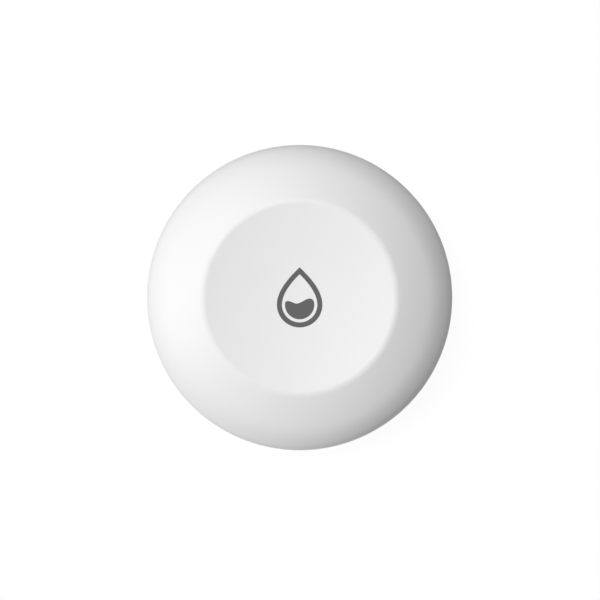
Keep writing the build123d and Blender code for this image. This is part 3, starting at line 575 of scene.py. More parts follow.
WHITE = shell_white()
INK = print_grey()
RUBBER = plain("silicone_black", (0.03, 0.03, 0.033), 0.62)
STEEL = turned_steel("plated_steel", (0.62, 0.61, 0.58), 0.3)
BLACK = plain("moulded_black", (0.022, 0.022, 0.024), 0.5)
GREEN = plain("solder_mask", (0.012, 0.11, 0.045), 0.35, scale=900, change=0.1)
GOLD = plain("gold_flash", (0.85, 0.6, 0.25), 0.28, metallic=1.0)
FOAM = plain("foam_black", (0.03, 0.03, 0.03), 0.9, scale=2200, change=0.4, depth=0.00004)
CERAMIC = plain("ceramic_tan", (0.42, 0.29, 0.17), 0.5)
YELLOW = plain("epoxy_yellow", (0.7, 0.36, 0.05), 0.4)
LENS = plain("led_phosphor", (0.85, 0.75, 0.45), 0.2)
RING = plain("cell_ring", (0.45, 0.45, 0.43), 0.4)
SOLDER = plain("tin_solder", (0.68, 0.68, 0.67), 0.35, 1.0, scale=1500, change=0.08, depth=0.00001)
ALUMINA = plain("white_ceramic", (0.72, 0.71, 0.68), 0.5)
ENGRAVED = plain("engraved_grey", (0.16, 0.16, 0.16), 0.6)
MASKED = plain("masked_copper", (0.02, 0.2, 0.07), 0.35, scale=900, change=0.1)
PROBE = turned_steel("stainless_probe", (0.66, 0.65, 0.63), 0.22)
CAN = turned_steel("cell_nickel", (0.66, 0.65, 0.62), 0.3)
SPRING = turned_steel("spring_nickel", (0.72, 0.69, 0.62), 0.24)

FINISHES = (
    (INK, ("drop_mark",)),
    (WHITE, ("bottom_shell", "battery_cover")),
    (RUBBER, ("case_gasket", "cover_seal", "probe_seals")),
    (FOAM, ("cover_pad",)),
    (RING, ("battery_gasket",)),
    (STEEL, ("battery_can", "battery_cap", "positive_clip", "negative_spring", "crystals")),
    (STEEL, ("switch_leads", "switch_frame", "probe_left", "probe_right", "probe_nuts", "board_screws")),
    (SPRING, ("switch_dome", "probe_contacts")),
    (BLACK, ("battery_core", "battery_holder", "switch_base", "switch_plunger")),
    (BLACK, ("radio_chip", "transistors", "resistors")),
    (GREEN, ("circuit_board",)),
    (GOLD, ("antenna_trace", "test_pads")),
    (LENS, ("status_led",)),
    (YELLOW, ("reservoir_capacitor",)),
    (CERAMIC, ("capacitors",)),
)


def dress_nodes():
    """Gives the CAD nodes their finish."""
    for material, names in FINISHES:
        for name in names:
            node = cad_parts[name]
            if not node.data.materials:
                node.data.materials.append(material)
            for slot in node.material_slots:
                slot.material = material


def make_rim():
    """The rim and side of the upper shell, from the crest circle down to the seam."""
    lip = CASE_HEIGHT - PRESS_LIP
    opening = CREST_RADIUS + PRESS_GAP / 2
    pocket = CREST_RADIUS + FLANGE_REACH + 2 * PRESS_GAP
    bore = CASE_RADIUS - WALL
    bend = SEAM_ROUND * SEAM_BEND_SHARE
    foot = [
        (CASE_RADIUS, SEAM_HEIGHT + SEAM_ROUND),
        (CASE_RADIUS - bend, SEAM_HEIGHT + bend),
        (CASE_RADIUS - SEAM_ROUND, SEAM_HEIGHT),
        (bore, SEAM_HEIGHT),
    ]
    low, high, reach = BEAD_GROOVE
    groove = [(bore, low), (reach, low), (reach, high), (bore, high)]
    inside = [p for p in reversed(skin_profile(WALL)) if p[0] > pocket and p[1] > high]
    mouth = [(pocket, lip), (opening, lip), (opening, CASE_HEIGHT - MOUTH_DROP)]
    build = Build()
    build.turn(skin_profile(0) + foot + groove + inside + mouth)
    flange_low = lip - PRESS_GAP - FLANGE_THICKNESS
    for side in (-1, 1):
        left, right = sorted((side * opening, side * pocket))
        build.box((left, -KEY_WIDTH / 2, flange_low), (right, KEY_WIDTH / 2, lip + KEY_ROOT))
    rim = build.make("rim_skin", [WHITE], "casing")
    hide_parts("top_shell")


def make_dish():
    """The pressed middle of the top, up to the narrow gap where it meets the rim."""
    edge = CREST_RADIUS - PRESS_GAP / 2
    skirt = edge - PRESS_SKIRT
    flange_top = CASE_HEIGHT - PRESS_LIP - PRESS_GAP
    flange_low = flange_top - FLANGE_THICKNESS
    ceiling = DISH_FLOOR - PRESS_WALL
    root = DISH_FLOOR - PRESS_WALL * ROOT_SHARE
    curve = DISH_CURVE + PRESS_WALL
    skirt_top = ceiling + curve - math.sqrt(curve**2 - skirt**2)
    side = [(edge, CASE_HEIGHT - MOUTH_DROP), (edge, flange_low), (skirt, flange_low), (skirt, skirt_top)]
    under = [p for p in reversed(dish_profile(PRESS_WALL)) if p[0] < skirt]
    build = Build()
    build.turn(dish_profile(0) + side + under, closed=False)
    flange = oblong(edge - PRESS_SKIRT / 2, CREST_RADIUS + FLANGE_REACH, flange_low, flange_top)
    notch = math.degrees((KEY_WIDTH / 2 + PRESS_GAP) / edge)
    for start in (notch, 180 + notch):
        build.sweep(flange, start, start + 180 - 2 * notch, SMALL_TURN)
    half = skirt + PRESS_SKIRT / 2
    rib = oblong(-half, half, -RIB_WIDTH / 2, RIB_WIDTH / 2)
    for index in range(RIB_COUNT // 2):
        build.prism(turned(rib, 2 * math.pi * index / RIB_COUNT), ceiling - RIB_DROP, root)
    post = [(0, POST_TIP), (POST_RADIUS - POST_CHAMFER, POST_TIP), (POST_RADIUS, POST_TIP + POST_CHAMFER)]
    build.turn(post + [(POST_RADIUS, root), (0, root)], SMALL_TURN, closed=False)
    dish = build.make("dish_skin", [WHITE], None)
    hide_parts("press_dish")
    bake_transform(dish)


def make_pad():
    """The die-cut foam pad on the battery cover, crowned and open-celled."""
    low, high = mm_box("cover_pad")
    radius, bottom, top = high[0], low[2], high[2]
    rise = top - bottom
    pit_start = bottom + rise / 3
    outline = [(0, bottom)] + [(radius * share, bottom) for share in PAD_FLOOR_SHARES]
    for level in PAD_LEVEL_SHARES:
        share = PAD_EDGE_SHARE - PAD_WAIST_SHARE * math.sin(math.pi * level)
        outline.append((radius * share, bottom + rise * level * PAD_SIDE_SHARE))
    for turn in np.linspace(math.pi / 2, 0, PAD_RINGS + 1)[1:]:
        share = math.sin(turn)
        outline.append((radius * share * PAD_EDGE_SHARE, top - PAD_CROWN * share**PAD_CROWN_POWER))
    rings = []
    for reach, height in outline:
        pitted = reach > TIP_RADIUS and height > pit_start
        ring = []
        for x, y, z in ring_of(reach, height, (0, 0), PAD_TURN):
            pit = noise.noise(Vector((x, y, z)) * PAD_GRAIN) if pitted else 0.0
            ring.append((x, y, z - PAD_PIT * abs(pit)))
        rings.append(ring)
    build = Build()
    build.loft(rings)
    pad = build.make("foam_pad", [FOAM], "battery_cover", sharp=50)
    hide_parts("cover_pad")


def make_seal():
    """The O-ring in the battery cover's groove."""
    low, high = mm_box("cover_seal")
    cord = (high[2] - low[2]) / 2
    middle = (high[0] - cord, (high[2] + low[2]) / 2)
    build = Build()
    build.turn([(r, z) for r, z, _ in ring_of(cord, 0, middle, CORD_STEPS)], SEAL_TURN)
    ring = build.make("o_ring", [RUBBER], "cover_seal", sharp=60)
    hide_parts("cover_seal")


def make_gasket():
    """The ribbed gasket between the two shells."""
    low, high = mm_box("case_gasket")
    outer, bottom, top = high[0], low[2], high[2]
    inner, valley = outer - GASKET_WIDTH, outer - GASKET_RIB
    rib = (top - bottom) / GASKET_RIBS
    outline = eased([(inner, top), (inner, bottom), (valley, bottom)], GASKET_EASES)
    for index in range(GASKET_RIBS):
        for t in np.linspace(GASKET_VALLEY_SHARE, 1 - GASKET_VALLEY_SHARE, CURVE_STEPS + 1):
            outline.append((valley + GASKET_RIB * math.sin(math.pi * t), bottom + rib * (index + t)))
    outline.append((valley, top))
    build = Build()
    build.turn(outline, CELL_TURN)
    ring = build.make("ribbed_gasket", [RUBBER], "casing", sharp=50)
    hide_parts("case_gasket")


def thread(bottom, top, middle):
    """Rings of a probe's thread, run out at the foot and chamfered on top."""
    rings = []
    count = int((top - bottom) / THREAD_PITCH * THREAD_LEVELS)
    for level in range(count + 1):
        height = bottom + (top - bottom) * level / count
        run_in = min(1.0, (height - bottom) / THREAD_PITCH)
        lead = max(0.0, height - (top - THREAD_DEPTH))
        ring = []
        for step in range(SMALL_TURN):
            turn = step / SMALL_TURN
            phase = (height / THREAD_PITCH - turn) % 1.0
            cut = THREAD_DEPTH * run_in * (1 - abs(2 * phase - 1))
            reach = PROBE_SHANK - max(cut, lead)
            angle = 2 * math.pi * turn
            ring.append((middle[0] + reach * math.cos(angle), middle[1] + reach * math.sin(angle), height))
        rings.append(ring)
    return rings


def make_probe(node):
    """A steel probe: a turned head with a shallow dome, and a threaded shank."""
    low, high = mm_box(node)
    middle = ((low[0] + high[0]) / 2, (low[1] + high[1]) / 2)
    head = (high[0] - low[0]) / 2
    dome = head * PROBE_DOME_SHARE
    bottom, top = low[2], high[2]
    seat = bottom + PROBE_HEAD_HEIGHT
    outline = [(dome * t, bottom + PROBE_DOME * t**2) for t in np.linspace(0, 1, CURVE_STEPS + 1)]
    corners = [(dome, bottom + PROBE_DOME), (head, bottom + PROBE_EDGE), (head, seat), (PROBE_SHANK, seat)]
    outline += eased(corners, PROBE_EASES, steps=7)[1:] + [(PROBE_SHANK, seat + PROBE_PLAIN)]
    rings = [ring_of(r, z, middle, SMALL_TURN) for r, z in outline]
    rings += thread(seat + PROBE_PLAIN + THREAD_START, top, middle)
    rings.append([(*middle, top)])
    build = Build()
    build.loft(rings)
    probe = build.make(f"{node}_turned", [PROBE], "casing", sharp=32)
    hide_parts(node)


def make_nuts():
    """Hexagon nuts on the probes, their corners cut by cones."""
    low, high = mm_box("probe_nuts")
    flat = (high[1] - low[1]) / 2
    reach = high[0] - flat / math.cos(math.pi / 6)
    bore = PROBE_SHANK - NUT_BITE
    circle = flat * NUT_CIRCLE_SHARE
    build = Build()
    for side in (-1, 1):
        middle = (side * reach, 0)
        rings = []
        for face, inwards in ((low[2], 1), (high[2], -1)):
            rows = [ring_of(bore, face + inwards * NUT_CHAMFER, middle, NUT_TURN)]
            rows += [ring_of(radius, face, middle, NUT_TURN) for radius in (bore + NUT_CHAMFER, circle)]
            corners = []
            for step in range(NUT_TURN):
                turn = 2 * math.pi * step / NUT_TURN
                far = flat / math.cos(turn % (math.pi / 3) - math.pi / 6)
                drop = (far - circle) * math.tan(math.pi / 6)
                x, y = middle[0] + far * math.cos(turn), far * math.sin(turn)
                corners.append((x, y, face + inwards * drop))
            rows.append(corners)
            rings += rows[::inwards]
        build.loft(rings, closed=True)
    nuts = build.make("hexagon_nuts", [STEEL], "casing", sharp=25)
    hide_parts("probe_nuts")


def make_cell():
    """The coin cell: a can with a rolled crimp, a stepped cap and a plus sign."""
    low, high = mm_box("battery_can")
    radius, bottom, crimp = high[0], low[2], high[2]
    wall, lip = radius - CELL_SHEET, radius - CRIMP_REACH
    corners = [(radius, bottom), (radius, crimp), (lip, crimp - CRIMP_DROP)]
    corners += [(lip - CRIMP_HEM, crimp - CELL_SHEET), (wall, crimp - 2 * CELL_SHEET)]
    corners += [(wall, bottom + CELL_SHEET)]
    outline = [(0, bottom)] + [(radius * share, bottom) for share in CELL_FLOOR_SHARES]
    outline += eased(corners, CAN_EASES, steps=6) + [(0, bottom + CELL_SHEET)]
    build = Build()
    build.turn(outline, CELL_TURN, closed=False)
    can = build.make("cell_can", [CAN], "battery", sharp=40)
    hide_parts("battery_can")

    low, high = mm_box("battery_cap")
    skirt, foot, top = high[0], low[2], high[2]
    reach = radius - CAP_INSET
    neck, ledge = crimp - CAP_NECK, crimp - CAP_STEP
    inner, collar = skirt - CELL_SHEET, reach - CELL_SHEET
    corners = [(reach, top), (reach, neck), (skirt, ledge), (skirt, foot), (inner, foot)]
    corners += [(inner, ledge - CELL_SHEET), (collar, neck - CAP_NECK_WALL), (collar, top - CELL_SHEET)]
    outline = [(0, top), (reach / 2, top)] + eased(corners, CAP_EASES, steps=5) + [(0, top - CELL_SHEET)]
    build = Build()
    build.turn(outline, CELL_TURN, closed=False)
    cap = build.make("cell_cap", [CAN], "battery", sharp=40)
    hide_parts("battery_cap")

    half, width = PLUS_LENGTH / 2, PLUS_WIDTH / 2
    outline = []
    for quarter in range(4):
        outline += turned([(half, width), (width, width), (width, half)], math.pi / 2 * quarter)
    outline = [(x, y + PLUS_OFFSET) for x, y in outline]
    build = Build()
    build.prism(outline, bottom - PLUS_THICKNESS, bottom + PLUS_THICKNESS)
    plus = build.make("cell_plus", [ENGRAVED], "battery")


def strip(build, path, width, thickness, side=0, tip=0, slot=0):
    """Adds a bent strip along a path of reach and upper height, rounded over its last points."""
    rings = []
    for index, (x, z) in enumerate(path):
        half = width / 2
        left = len(path) - 1 - index
        if left < tip:
            half *= math.sqrt(1 - (1 - (left + LEAF_BLUNT) / (tip + LEAF_BLUNT)) ** 2)
        rings.append([(x, y, level) for y, level in oblong(side - half, side + half, z, z - thickness)])
    build.loft(rings, slot, capped=True)


def leaf_path(foot, bend, end, top, floor, falling, rising):
    """The upper line of a leaf that falls from its foot to a bend and lifts again to its end."""
    path = []
    for t in np.linspace(0, 1, falling + 1):
        path.append((foot + (bend - foot) * t, top + (floor + LEAF - top) * gentle(t)))
    for t in np.linspace(0, 1, rising + 1)[1:]:
        path.append((bend + (end - bend) * t, floor + LEAF + LEAF * t * t))
    return path


def make_spring():
    """The forked leaf spring that presses on the top of the cell."""
    low, high = mm_box("negative_spring")
    length, width = high[0] - low[0], high[1] - low[1]
    top, floor = high[2], low[2]
    fork = low[0] + length * SPRING_FORK_SHARE
    bend = low[0] + length * SPRING_BEND_SHARE
    build = Build()
    strip(build, [(x, top) for x in np.linspace(low[0], fork, 5)], width, LEAF)
    path = leaf_path(fork, bend, high[0], top, floor, falling=24, rising=10)
    for side in (-1, 1):
        strip(build, path, width * SPRING_ARM_SHARE, LEAF, side * width * SPRING_ARM_PLACE, tip=6)
    spring = build.make("leaf_spring", [SPRING], "casing", sharp=40, bevel=0.04)
    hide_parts("negative_spring")


def make_contacts():
    """Two leaf springs from under the board to the tails of the probes."""
    low, high = mm_box("probe_right")
    bend = (low[0] + high[0]) / 2
    low, high = mm_box("probe_contacts")
    end, top = high[0], high[2]
    start = end - CONTACT_LENGTH
    foot = start + CONTACT_FOOT
    path = [(x, top) for x in np.linspace(start, foot, 5)[:-1]]
    path += leaf_path(foot, bend, end, top, low[2], falling=16, rising=8)
    build = Build()
    for side in (-1, 1):
        strip(build, [(side * x, z) for x, z in path], high[1] - low[1], LEAF, tip=5)
    contacts = build.make("contact_fingers", [SPRING], "casing", sharp=40, bevel=0.04)
    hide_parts("probe_contacts")


def make_dome():
    """The snap dome in the switch, dimpled in its middle."""
    low, high = mm_box("switch_dome")
    reach, top = high[0], high[2]
    rise = top - low[2] - DOME_METAL
    curve = (reach**2 + rise**2) / (2 * rise)
    upper = []
    for slope in np.linspace(0, math.asin(reach / curve), FINE_STEPS + 1):
        radius = curve * math.sin(slope)
        dimple = DOME_DIMPLE * math.exp(-((radius / DOME_DIMPLE_WIDTH) ** 2))
        upper.append((radius, top - curve * (1 - math.cos(slope)) - dimple))
    under = [(radius, height - DOME_METAL) for radius, height in reversed(upper)]
    build = Build()
    build.turn(upper + under, SMALL_TURN, closed=False)
    dome = build.make("snap_dome", [SPRING], "casing", sharp=50)
    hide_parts("switch_dome")


def make_clip():
    """The clip that grips the cell's side: a soldered foot and three sprung fingers."""
    low, high = mm_box("positive_clip")
    outer, bottom, top = -low[1], low[2], high[2]
    inner = mm_box("battery_can")[1][0] + CLIP_GAP
    back, under, root = inner + CLIP_SHEET, top - CLIP_SHEET, top - CLIP_CROWN
    corners = [(outer, top), (inner, top), (inner, root), (back, root), (back, under), (outer, under)]
    crown = eased(corners, CLIP_EASES, steps=5)
    build = Build()
    build.sweep(crown, CLIP_ANGLE - CLIP_HALF_ARC, CLIP_ANGLE + CLIP_HALF_ARC, CLIP_STEPS)
    near = []
    for t in np.linspace(0, 1, 13):
        lip = max(0, t - 1 + CLIP_LIP_SHARE) / CLIP_LIP_SHARE
        flare = CLIP_BELLY * t * (1 - t) + CLIP_LIP * lip**2
        near.append((inner + flare, root + (bottom - root) * t))
    far = [(r + CLIP_SHEET, z) for r, z in reversed(near)]
    for finger in (-1, 0, 1):
        middle = CLIP_ANGLE + finger * FINGER_PITCH
        build.sweep(near + far, middle - FINGER_HALF_ARC, middle + FINGER_HALF_ARC, 14)
    clip = build.make("cell_clip", [SPRING], "casing", sharp=40, bevel=0.03)
    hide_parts("positive_clip")


def board_place(shares):
    """The place on the board at shares of the board's radius."""
    reach = mm_box("circuit_board")[1][0]
    return shares[0] * reach, shares[1] * reach


def grid(shares, pitch, counts):
    """The places of rows of chips about a middle."""
    middle = board_place(shares)
    across = [(i - (counts[0] - 1) / 2) * pitch[0] for i in range(counts[0])]
    along = [(i - (counts[1] - 1) / 2) * pitch[1] for i in range(counts[1])]
    return [(middle[0] + x, middle[1] + y) for x in across for y in along]


def terminals(build, x, y, z, sizes, metal, slot):
    """Adds a chip's two metal ends, and the solder that climbs them from its pads."""
    across, along, high = sizes
    waist, climb = high * SOLDER_WAIST_SHARE, high * SOLDER_CLIMB_SHARE
    for side in (-1, 1):
        build.box_at((metal, along, high), x + side * (across - metal) / 2, y, z, slot)
        face = x + side * across / 2
        foot = face + side * SOLDER_REACH
        bend = face + side * SOLDER_REACH * SOLDER_WAIST_SHARE
        corners = ((face, z), (foot, z), (bend, z + waist), (face, z + climb))
        ends = [[(a, y + end * along / 2, b) for a, b in corners] for end in (-1, 1)]
        build.loft(ends, slot, capped=True)


def tapered(build, sizes, x, y, z, lean):
    """Adds a moulded block, widest at half its height."""
    across, along, high = sizes
    rings = []
    for inset, level in ((lean, z), (0.0, z + high / 2), (lean, z + high)):
        a, b = across / 2 - inset, along / 2 - inset
        rings.append([(p, q, level) for p, q in oblong(x - a, x + a, y - b, y + b)])
    build.loft(rings, capped=True)


def make_resistors(deck):
    """Twelve chip resistors: a white ceramic body, a black glaze and tinned ends."""
    across, along, high = 1.6, 0.8, 0.45
    metal, lap, shy, glaze, gap = 0.3, 0.05, 0.06, 0.09, 0.01
    body = (across - 2 * (metal - lap), along - shy, high - shy)
    cover = (across - 2 * (metal + gap), along - 2 * lap, glaze)
    build = Build()
    for x, y in grid(*RESISTOR_ROWS):
        build.box_at(body, x, y, deck)
        build.box_at(cover, x, y, deck + high - glaze - gap, 1)
        terminals(build, x, y, deck, (across, along, high - gap), metal, 2)
    chips = build.make("chip_resistors", [ALUMINA, BLACK, SOLDER], "casing", bevel=0.03)
    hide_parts("resistors")


def make_capacitors(deck):
    """Nine ceramic chip capacitors with tinned ends."""
    across, along, high = 1.6, 0.8, 0.8
    metal, lap, shy = 0.32, 0.02, 0.04
    body = (across - 2 * (metal - lap), along - shy, high - shy)
    build = Build()
    for x, y in grid(*CAPACITOR_ROWS):
        build.box_at(body, x, y, deck)
        terminals(build, x, y, deck, (across, along, high), metal, 1)
    chips = build.make("chip_capacitors", [CERAMIC, SOLDER], "casing", bevel=0.05)
    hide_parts("capacitors")


def make_radio(deck):
    """The radio chip: a moulded square body, a dimple by its first pin, and side pads."""
    side, high = 6.0, 0.9
    count, pitch = 9, 0.6
    length, width, thick, sunk = 0.5, 0.26, 0.2, 0.2
    dot, dot_inset, dot_depth, dot_proud = 0.34, 0.9, 0.14, 0.004
    x, y = board_place(RADIO_SHARES)
    build = Build()
    build.box_at((side, side, high), x, y, deck)
    reach = side / 2 - sunk
    for index in range(count):
        offset = (index - (count - 1) / 2) * pitch
        for turn in (-1, 1):
            build.box_at((length, width, thick), x + turn * reach, y + offset, deck, 1)
            build.box_at((width, length, thick), x + offset, y + turn * reach, deck, 1)
    outline = oblong(0, dot, deck + high + dot_proud, deck + high - dot_depth)
    middle = (x - side / 2 + dot_inset, y + side / 2 - dot_inset)
    build.turn(outline, DOT_TURN, middle, 2, closed=False)
    chip = build.make("radio_package", [BLACK, SOLDER, ENGRAVED], "casing", bevel=0.05)
    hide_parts("radio_chip")


def make_crystals(deck):
    """Two crystals: ceramic boats with brazed metal lids and corner pads."""
    boat_share, lid_share = 0.74, 0.2
    lids = ((0.3, 0.66), (0.56, 0.79))  # inset and share of the height
    pad, pad_sunk = (0.42, 0.42, 0.22), 0.17
    build = Build()
    for (across, along, high), shares in CRYSTALS:
        x, y = board_place(shares)
        build.box_at((across, along, high * boat_share), x, y, deck)
        for inset, level in lids:
            build.box_at((across - inset, along - inset, high * lid_share), x, y, deck + high * level, 1)
        for turn in (-1, 1):
            for end in (-1, 1):
                corner = (x + turn * (across / 2 - pad_sunk), y + end * (along / 2 - pad_sunk))
                build.box_at(pad, *corner, deck, 2)
    boats = build.make("crystal_cans", [CERAMIC, STEEL, SOLDER], "casing", bevel=0.06)
    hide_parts("crystals")


def make_tantalum(deck):
    """The reservoir capacitor: a moulded block with a dark band and folded tabs."""
    across, along, high = 3.5, 2.8, 1.9
    lift, lean = 0.1, 0.12
    band, band_inset, band_sunk = (0.56, 2.4, 0.16), 0.55, 0.145
    tab, tab_inset = (0.14, 1.9, high / 2), 0.02
    foot, foot_inset = (0.8, 1.9, 0.15), 0.36
    x, y = board_place(TANTALUM_SHARES)
    build = Build()
    tapered(build, (across - lean, along, high - lift), x, y, deck + lift, lean)
    build.box_at(band, x - across / 2 + band_inset, y, deck + high - band_sunk, 1)
    for turn in (-1, 1):
        build.box_at(tab, x + turn * (across / 2 - tab_inset), y, deck, 2)
        build.box_at(foot, x + turn * (across / 2 - foot_inset), y, deck, 2)
    block = build.make("tantalum_block", [YELLOW, ENGRAVED, SOLDER], "casing", bevel=0.06)
    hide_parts("reservoir_capacitor")


def make_transistors(deck):
    """Two small transistors on gull-wing legs."""
    across, along, high = 1.3, 2.9, 1.0
    lift, lean = 0.08, 0.08
    width, thick, root, reach, level, fall = 0.42, 0.14, 0.15, 0.64, 0.55, 0.41
    build = Build()
    for side in (-1, 1):
        x, y = board_place((side * TRANSISTOR_SHARES[0], TRANSISTOR_SHARES[1]))
        tapered(build, (across, along, high - lift), x, y, deck + lift, lean)
        for turn, offset in ((1, 0.0), (-1, -along / 3), (-1, along / 3)):
            path = []
            for t in np.linspace(0, 1, 13):
                path.append((x + turn * (across / 2 - root + reach * t), deck + level - fall * gentle(t)))
            strip(build, path, width, thick, y + offset, slot=1)
    legs = build.make("small_transistors", [BLACK, SOLDER], "casing", bevel=0.03)
    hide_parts("transistors")


def make_led(deck):
    """The status LED: a white housing, a phosphor lens and tinned ends."""
    across, along = 1.6, 0.8
    housing, lens = (1.2, along, 0.34), (1.0, along, 0.24)
    metal, metal_high = 0.24, 0.3
    x, y = board_place(LED_SHARES)
    build = Build()
    build.box_at(housing, x, y, deck)
    build.box_at(lens, x, y, deck + housing[2], 1)
    terminals(build, x, y, deck, (across, along, metal_high), metal, 2)
    led = build.make("led_chip", [ALUMINA, LENS, SOLDER], "casing", bevel=0.05)
    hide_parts("status_led")


def track(build, points, low, high):
    """Adds a printed track along points of the board, with mitred corners and round ends."""
    half = TRACK_WIDTH / 2
    turns = [math.atan2(b[1] - a[1], b[0] - a[0]) for a, b in zip(points, points[1:])]
    left, right = [], []
    for (x, y), before, after in zip(points[1:], turns, turns[1:]):
        bend = math.remainder(after - before, 2 * math.pi)
        reach = half / math.cos(bend / 2)
        across = before + bend / 2 + math.pi / 2
        left.append((x + reach * math.cos(across), y + reach * math.sin(across)))
        right.append((x - reach * math.cos(across), y - reach * math.sin(across)))
    ends = []
    for (x, y), first in ((points[0], turns[0] + math.pi / 2), (points[-1], turns[-1] - math.pi / 2)):
        angles = [first + math.pi * step / CURVE_STEPS for step in range(CURVE_STEPS + 1)]
        ends.append([(x + half * math.cos(a), y + half * math.sin(a)) for a in angles])
    build.prism(ends[0] + right + ends[1] + left[::-1], low, high)


def make_copper(deck, under):
    """Solder pads and masked tracks on both faces of the board."""
    faces = ((deck, deck + COPPER), (under - COPPER, under))
    build = Build()
    for index in range(3):
        angle = math.pi / 2 + 2 * math.pi * index / 3
        middle = (BOSS_CIRCLE * math.cos(angle), BOSS_CIRCLE * math.sin(angle))
        for low, high in faces:
            build.turn(oblong(*SCREW_PAD, low, high), DOT_TURN, middle)
    for x, y in grid(*RESISTOR_ROWS) + grid(*CAPACITOR_ROWS):
        for side in (-1, 1):
            build.box_at(CHIP_PAD, x + side * CHIP_PAD_PLACE, y, deck)
    build.box_at(SPRING_PAD, mm_box("negative_spring")[0][0] + SPRING_PAD_PLACE, 0, under - COPPER)
    contact = mm_box("battery_can")[1][0]
    outline = oblong(contact + CLIP_PAD[0], contact + CLIP_PAD[1], under - COPPER, under)
    build.sweep(outline, CLIP_ANGLE - CLIP_PAD_HALF_ARC, CLIP_ANGLE + CLIP_PAD_HALF_ARC, CLIP_STEPS)
    for middle in VIAS:
        for low, high in faces:
            build.turn(oblong(*VIA_RING, low, high), VIA_TURN, middle)
    pads = build.make("board_pads", [SOLDER], "casing")
    build = Build()
    for points in TRACKS_BELOW:
        track(build, points, under - COPPER / 2, under)
    for points in TRACKS_ABOVE:
        track(build, points, deck, deck + COPPER / 2)
    tracks = build.make("board_tracks", [MASKED], "casing")


def any_of(tree, *values):
    """1 where any of the values is 1."""
    total = values[0]
    for value in values[1:]:
        node = tree.nodes.new("ShaderNodeMath")
        node.operation = "MAXIMUM"
        tree.links.new(total, node.inputs[0])
        tree.links.new(value, node.inputs[1])
        total = node.outputs[0]
    return total


def mixed(tree, share, one, two):
    """A mix of two shaders by a share."""
    node = tree.nodes.new("ShaderNodeMixShader")
    tree.links.new(share, node.inputs["Fac"])
    tree.links.new(one, node.inputs[1])
    tree.links.new(two, node.inputs[2])
    return node.outputs[0]


def make_floor():
    """A pale floor that takes the object's shadow and lets through what lies under it."""
    mesh = bpy.data.meshes.new("floor")
    half = FLOOR_HALF_WIDTH
    corners = [(x, y, FLOOR_HEIGHT) for x, y in oblong(-half, half, -half, half)]
    mesh.from_pydata(corners, [], [(0, 1, 2, 3)])
    floor = bpy.data.objects.new("floor", mesh)
    bpy.context.scene.collection.objects.link(floor)
    material, tree, shader = new_material("floor_pale", (0.8, 0.8, 0.8), 0.9)
    shader.inputs["Specular IOR Level"].default_value = 0.0
    shader.inputs["Emission Color"].default_value = (1, 1, 1, 1)
    shader.inputs["Emission Strength"].default_value = FLOOR_GLOW
    clear = tree.nodes.new("ShaderNodeBsdfTransparent").outputs[0]
    reach = tree.nodes.new("ShaderNodeVectorMath")
    reach.operation = "LENGTH"
    tree.links.new(place(tree), reach.inputs[0])
    fade = spread(tree, reach.outputs["Value"], FLOOR_SHARE, FLOOR_FAR_SHARE, FLOOR_FADE, 2 * FLOOR_FADE)
    fade.node.interpolation_type = "SMOOTHSTEP"
    thin = mixed(tree, fade, clear, shader.outputs[0])
    rays = tree.nodes.new("ShaderNodeLightPath")
    seen = mixed(tree, rays.outputs["Is Camera Ray"], clear, thin)
    tree.links.new(seen, tree.nodes["Material Output"].inputs["Surface"])
    floor.data.materials.append(material)


def make_world():
    """A white background, weak light from above and the light that a pale floor throws up."""
    world = bpy.data.worlds.new("studio")
    bpy.context.scene.world = world
    world.use_nodes = True
    tree = world.node_tree
    soft = tree.nodes["Background"]
    soft.inputs["Color"].default_value = (1, 1, 1, 1)
    split = tree.nodes.new("ShaderNodeSeparateXYZ")
    tree.links.new(tree.nodes.new("ShaderNodeTexCoord").outputs["Generated"], split.inputs[0])
    level = spread(tree, split.outputs["Z"], LIGHT_BELOW, LIGHT_ABOVE, -HORIZON_BLUR, HORIZON_BLUR)
    tree.links.new(level, soft.inputs["Strength"])
    white = tree.nodes.new("ShaderNodeBackground")
    white.inputs["Color"].default_value = (1, 1, 1, 1)
    rays = tree.nodes.new("ShaderNodeLightPath").outputs
    shown = any_of(tree, rays["Is Camera Ray"], rays["Is Glossy Ray"], rays["Is Transmission Ray"])
    both = mixed(tree, shown, soft.outputs[0], white.outputs[0])
    tree.links.new(both, tree.nodes["World Output"].inputs["Surface"])


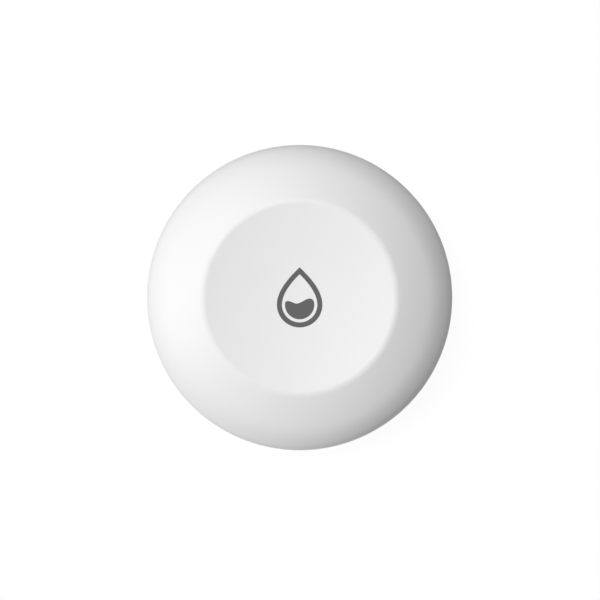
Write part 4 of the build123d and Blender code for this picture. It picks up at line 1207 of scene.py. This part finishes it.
def make_lamp(name, turn, height, level, mirrored):
    """A round soft lamp at a turn and a height in degrees, aimed at the puck.

    The level is the brightness that it alone gives a white surface that faces it.
    """
    lamp = bpy.data.lights.new(name, "AREA")
    lamp.shape = "DISK"
    lamp.size = LAMP_SIZE
    lamp.energy = level * (math.pi * LAMP_DISTANCE) ** 2
    thing = bpy.data.objects.new(name, lamp)
    bpy.context.scene.collection.objects.link(thing)
    turn, height = math.radians(turn), math.radians(height)
    flat = LAMP_DISTANCE * math.cos(height)
    thing.location = (flat * math.cos(turn), flat * math.sin(turn), LAMP_DISTANCE * math.sin(height))
    aim = -thing.location
    thing.rotation_euler = aim.to_track_quat("-Z", "Y").to_euler()
    thing.visible_glossy = mirrored


def make_camera():
    """A long lens straight over the puck, with the printed drop's tip upwards."""
    data = bpy.data.cameras.new("camera")
    data.lens = LENS_MM
    data.sensor_width = SENSOR_MM
    data.clip_end = FARTHEST_VIEW
    camera = bpy.data.objects.new("camera", data)
    bpy.context.scene.collection.objects.link(camera)
    view_width = PICTURE / PUCK_WIDE * 2 * CASE_RADIUS
    distance = view_width * LENS_MM / SENSOR_MM
    off_x = (PUCK_MIDDLE_X - PICTURE / 2) / PICTURE * view_width
    off_y = (PICTURE / 2 - PUCK_MIDDLE_Y) / PICTURE * view_width
    camera.location = (-off_x * MM, -off_y * MM, (WIDEST_HEIGHT + distance) * MM)
    bpy.context.scene.camera = camera


bpy.context.scene.view_settings.view_transform = "Standard"
make_camera()
make_floor()
make_world()
for lamp_values in LAMPS:
    make_lamp(*lamp_values)
dress_nodes()
make_rim()
make_dish()
make_gasket()
make_pad()
make_seal()
for probe_node in ("probe_left", "probe_right"):
    make_probe(probe_node)
make_nuts()
make_cell()
make_spring()
make_clip()
make_contacts()
make_dome()
board_under, board_deck = mm_box("circuit_board")[0][2], mm_box("circuit_board")[1][2]
make_copper(board_deck, board_under)
for make_chip in (make_resistors, make_capacitors, make_radio, make_crystals):
    make_chip(board_deck)
for make_chip in (make_tantalum, make_transistors, make_led):
    make_chip(board_deck)
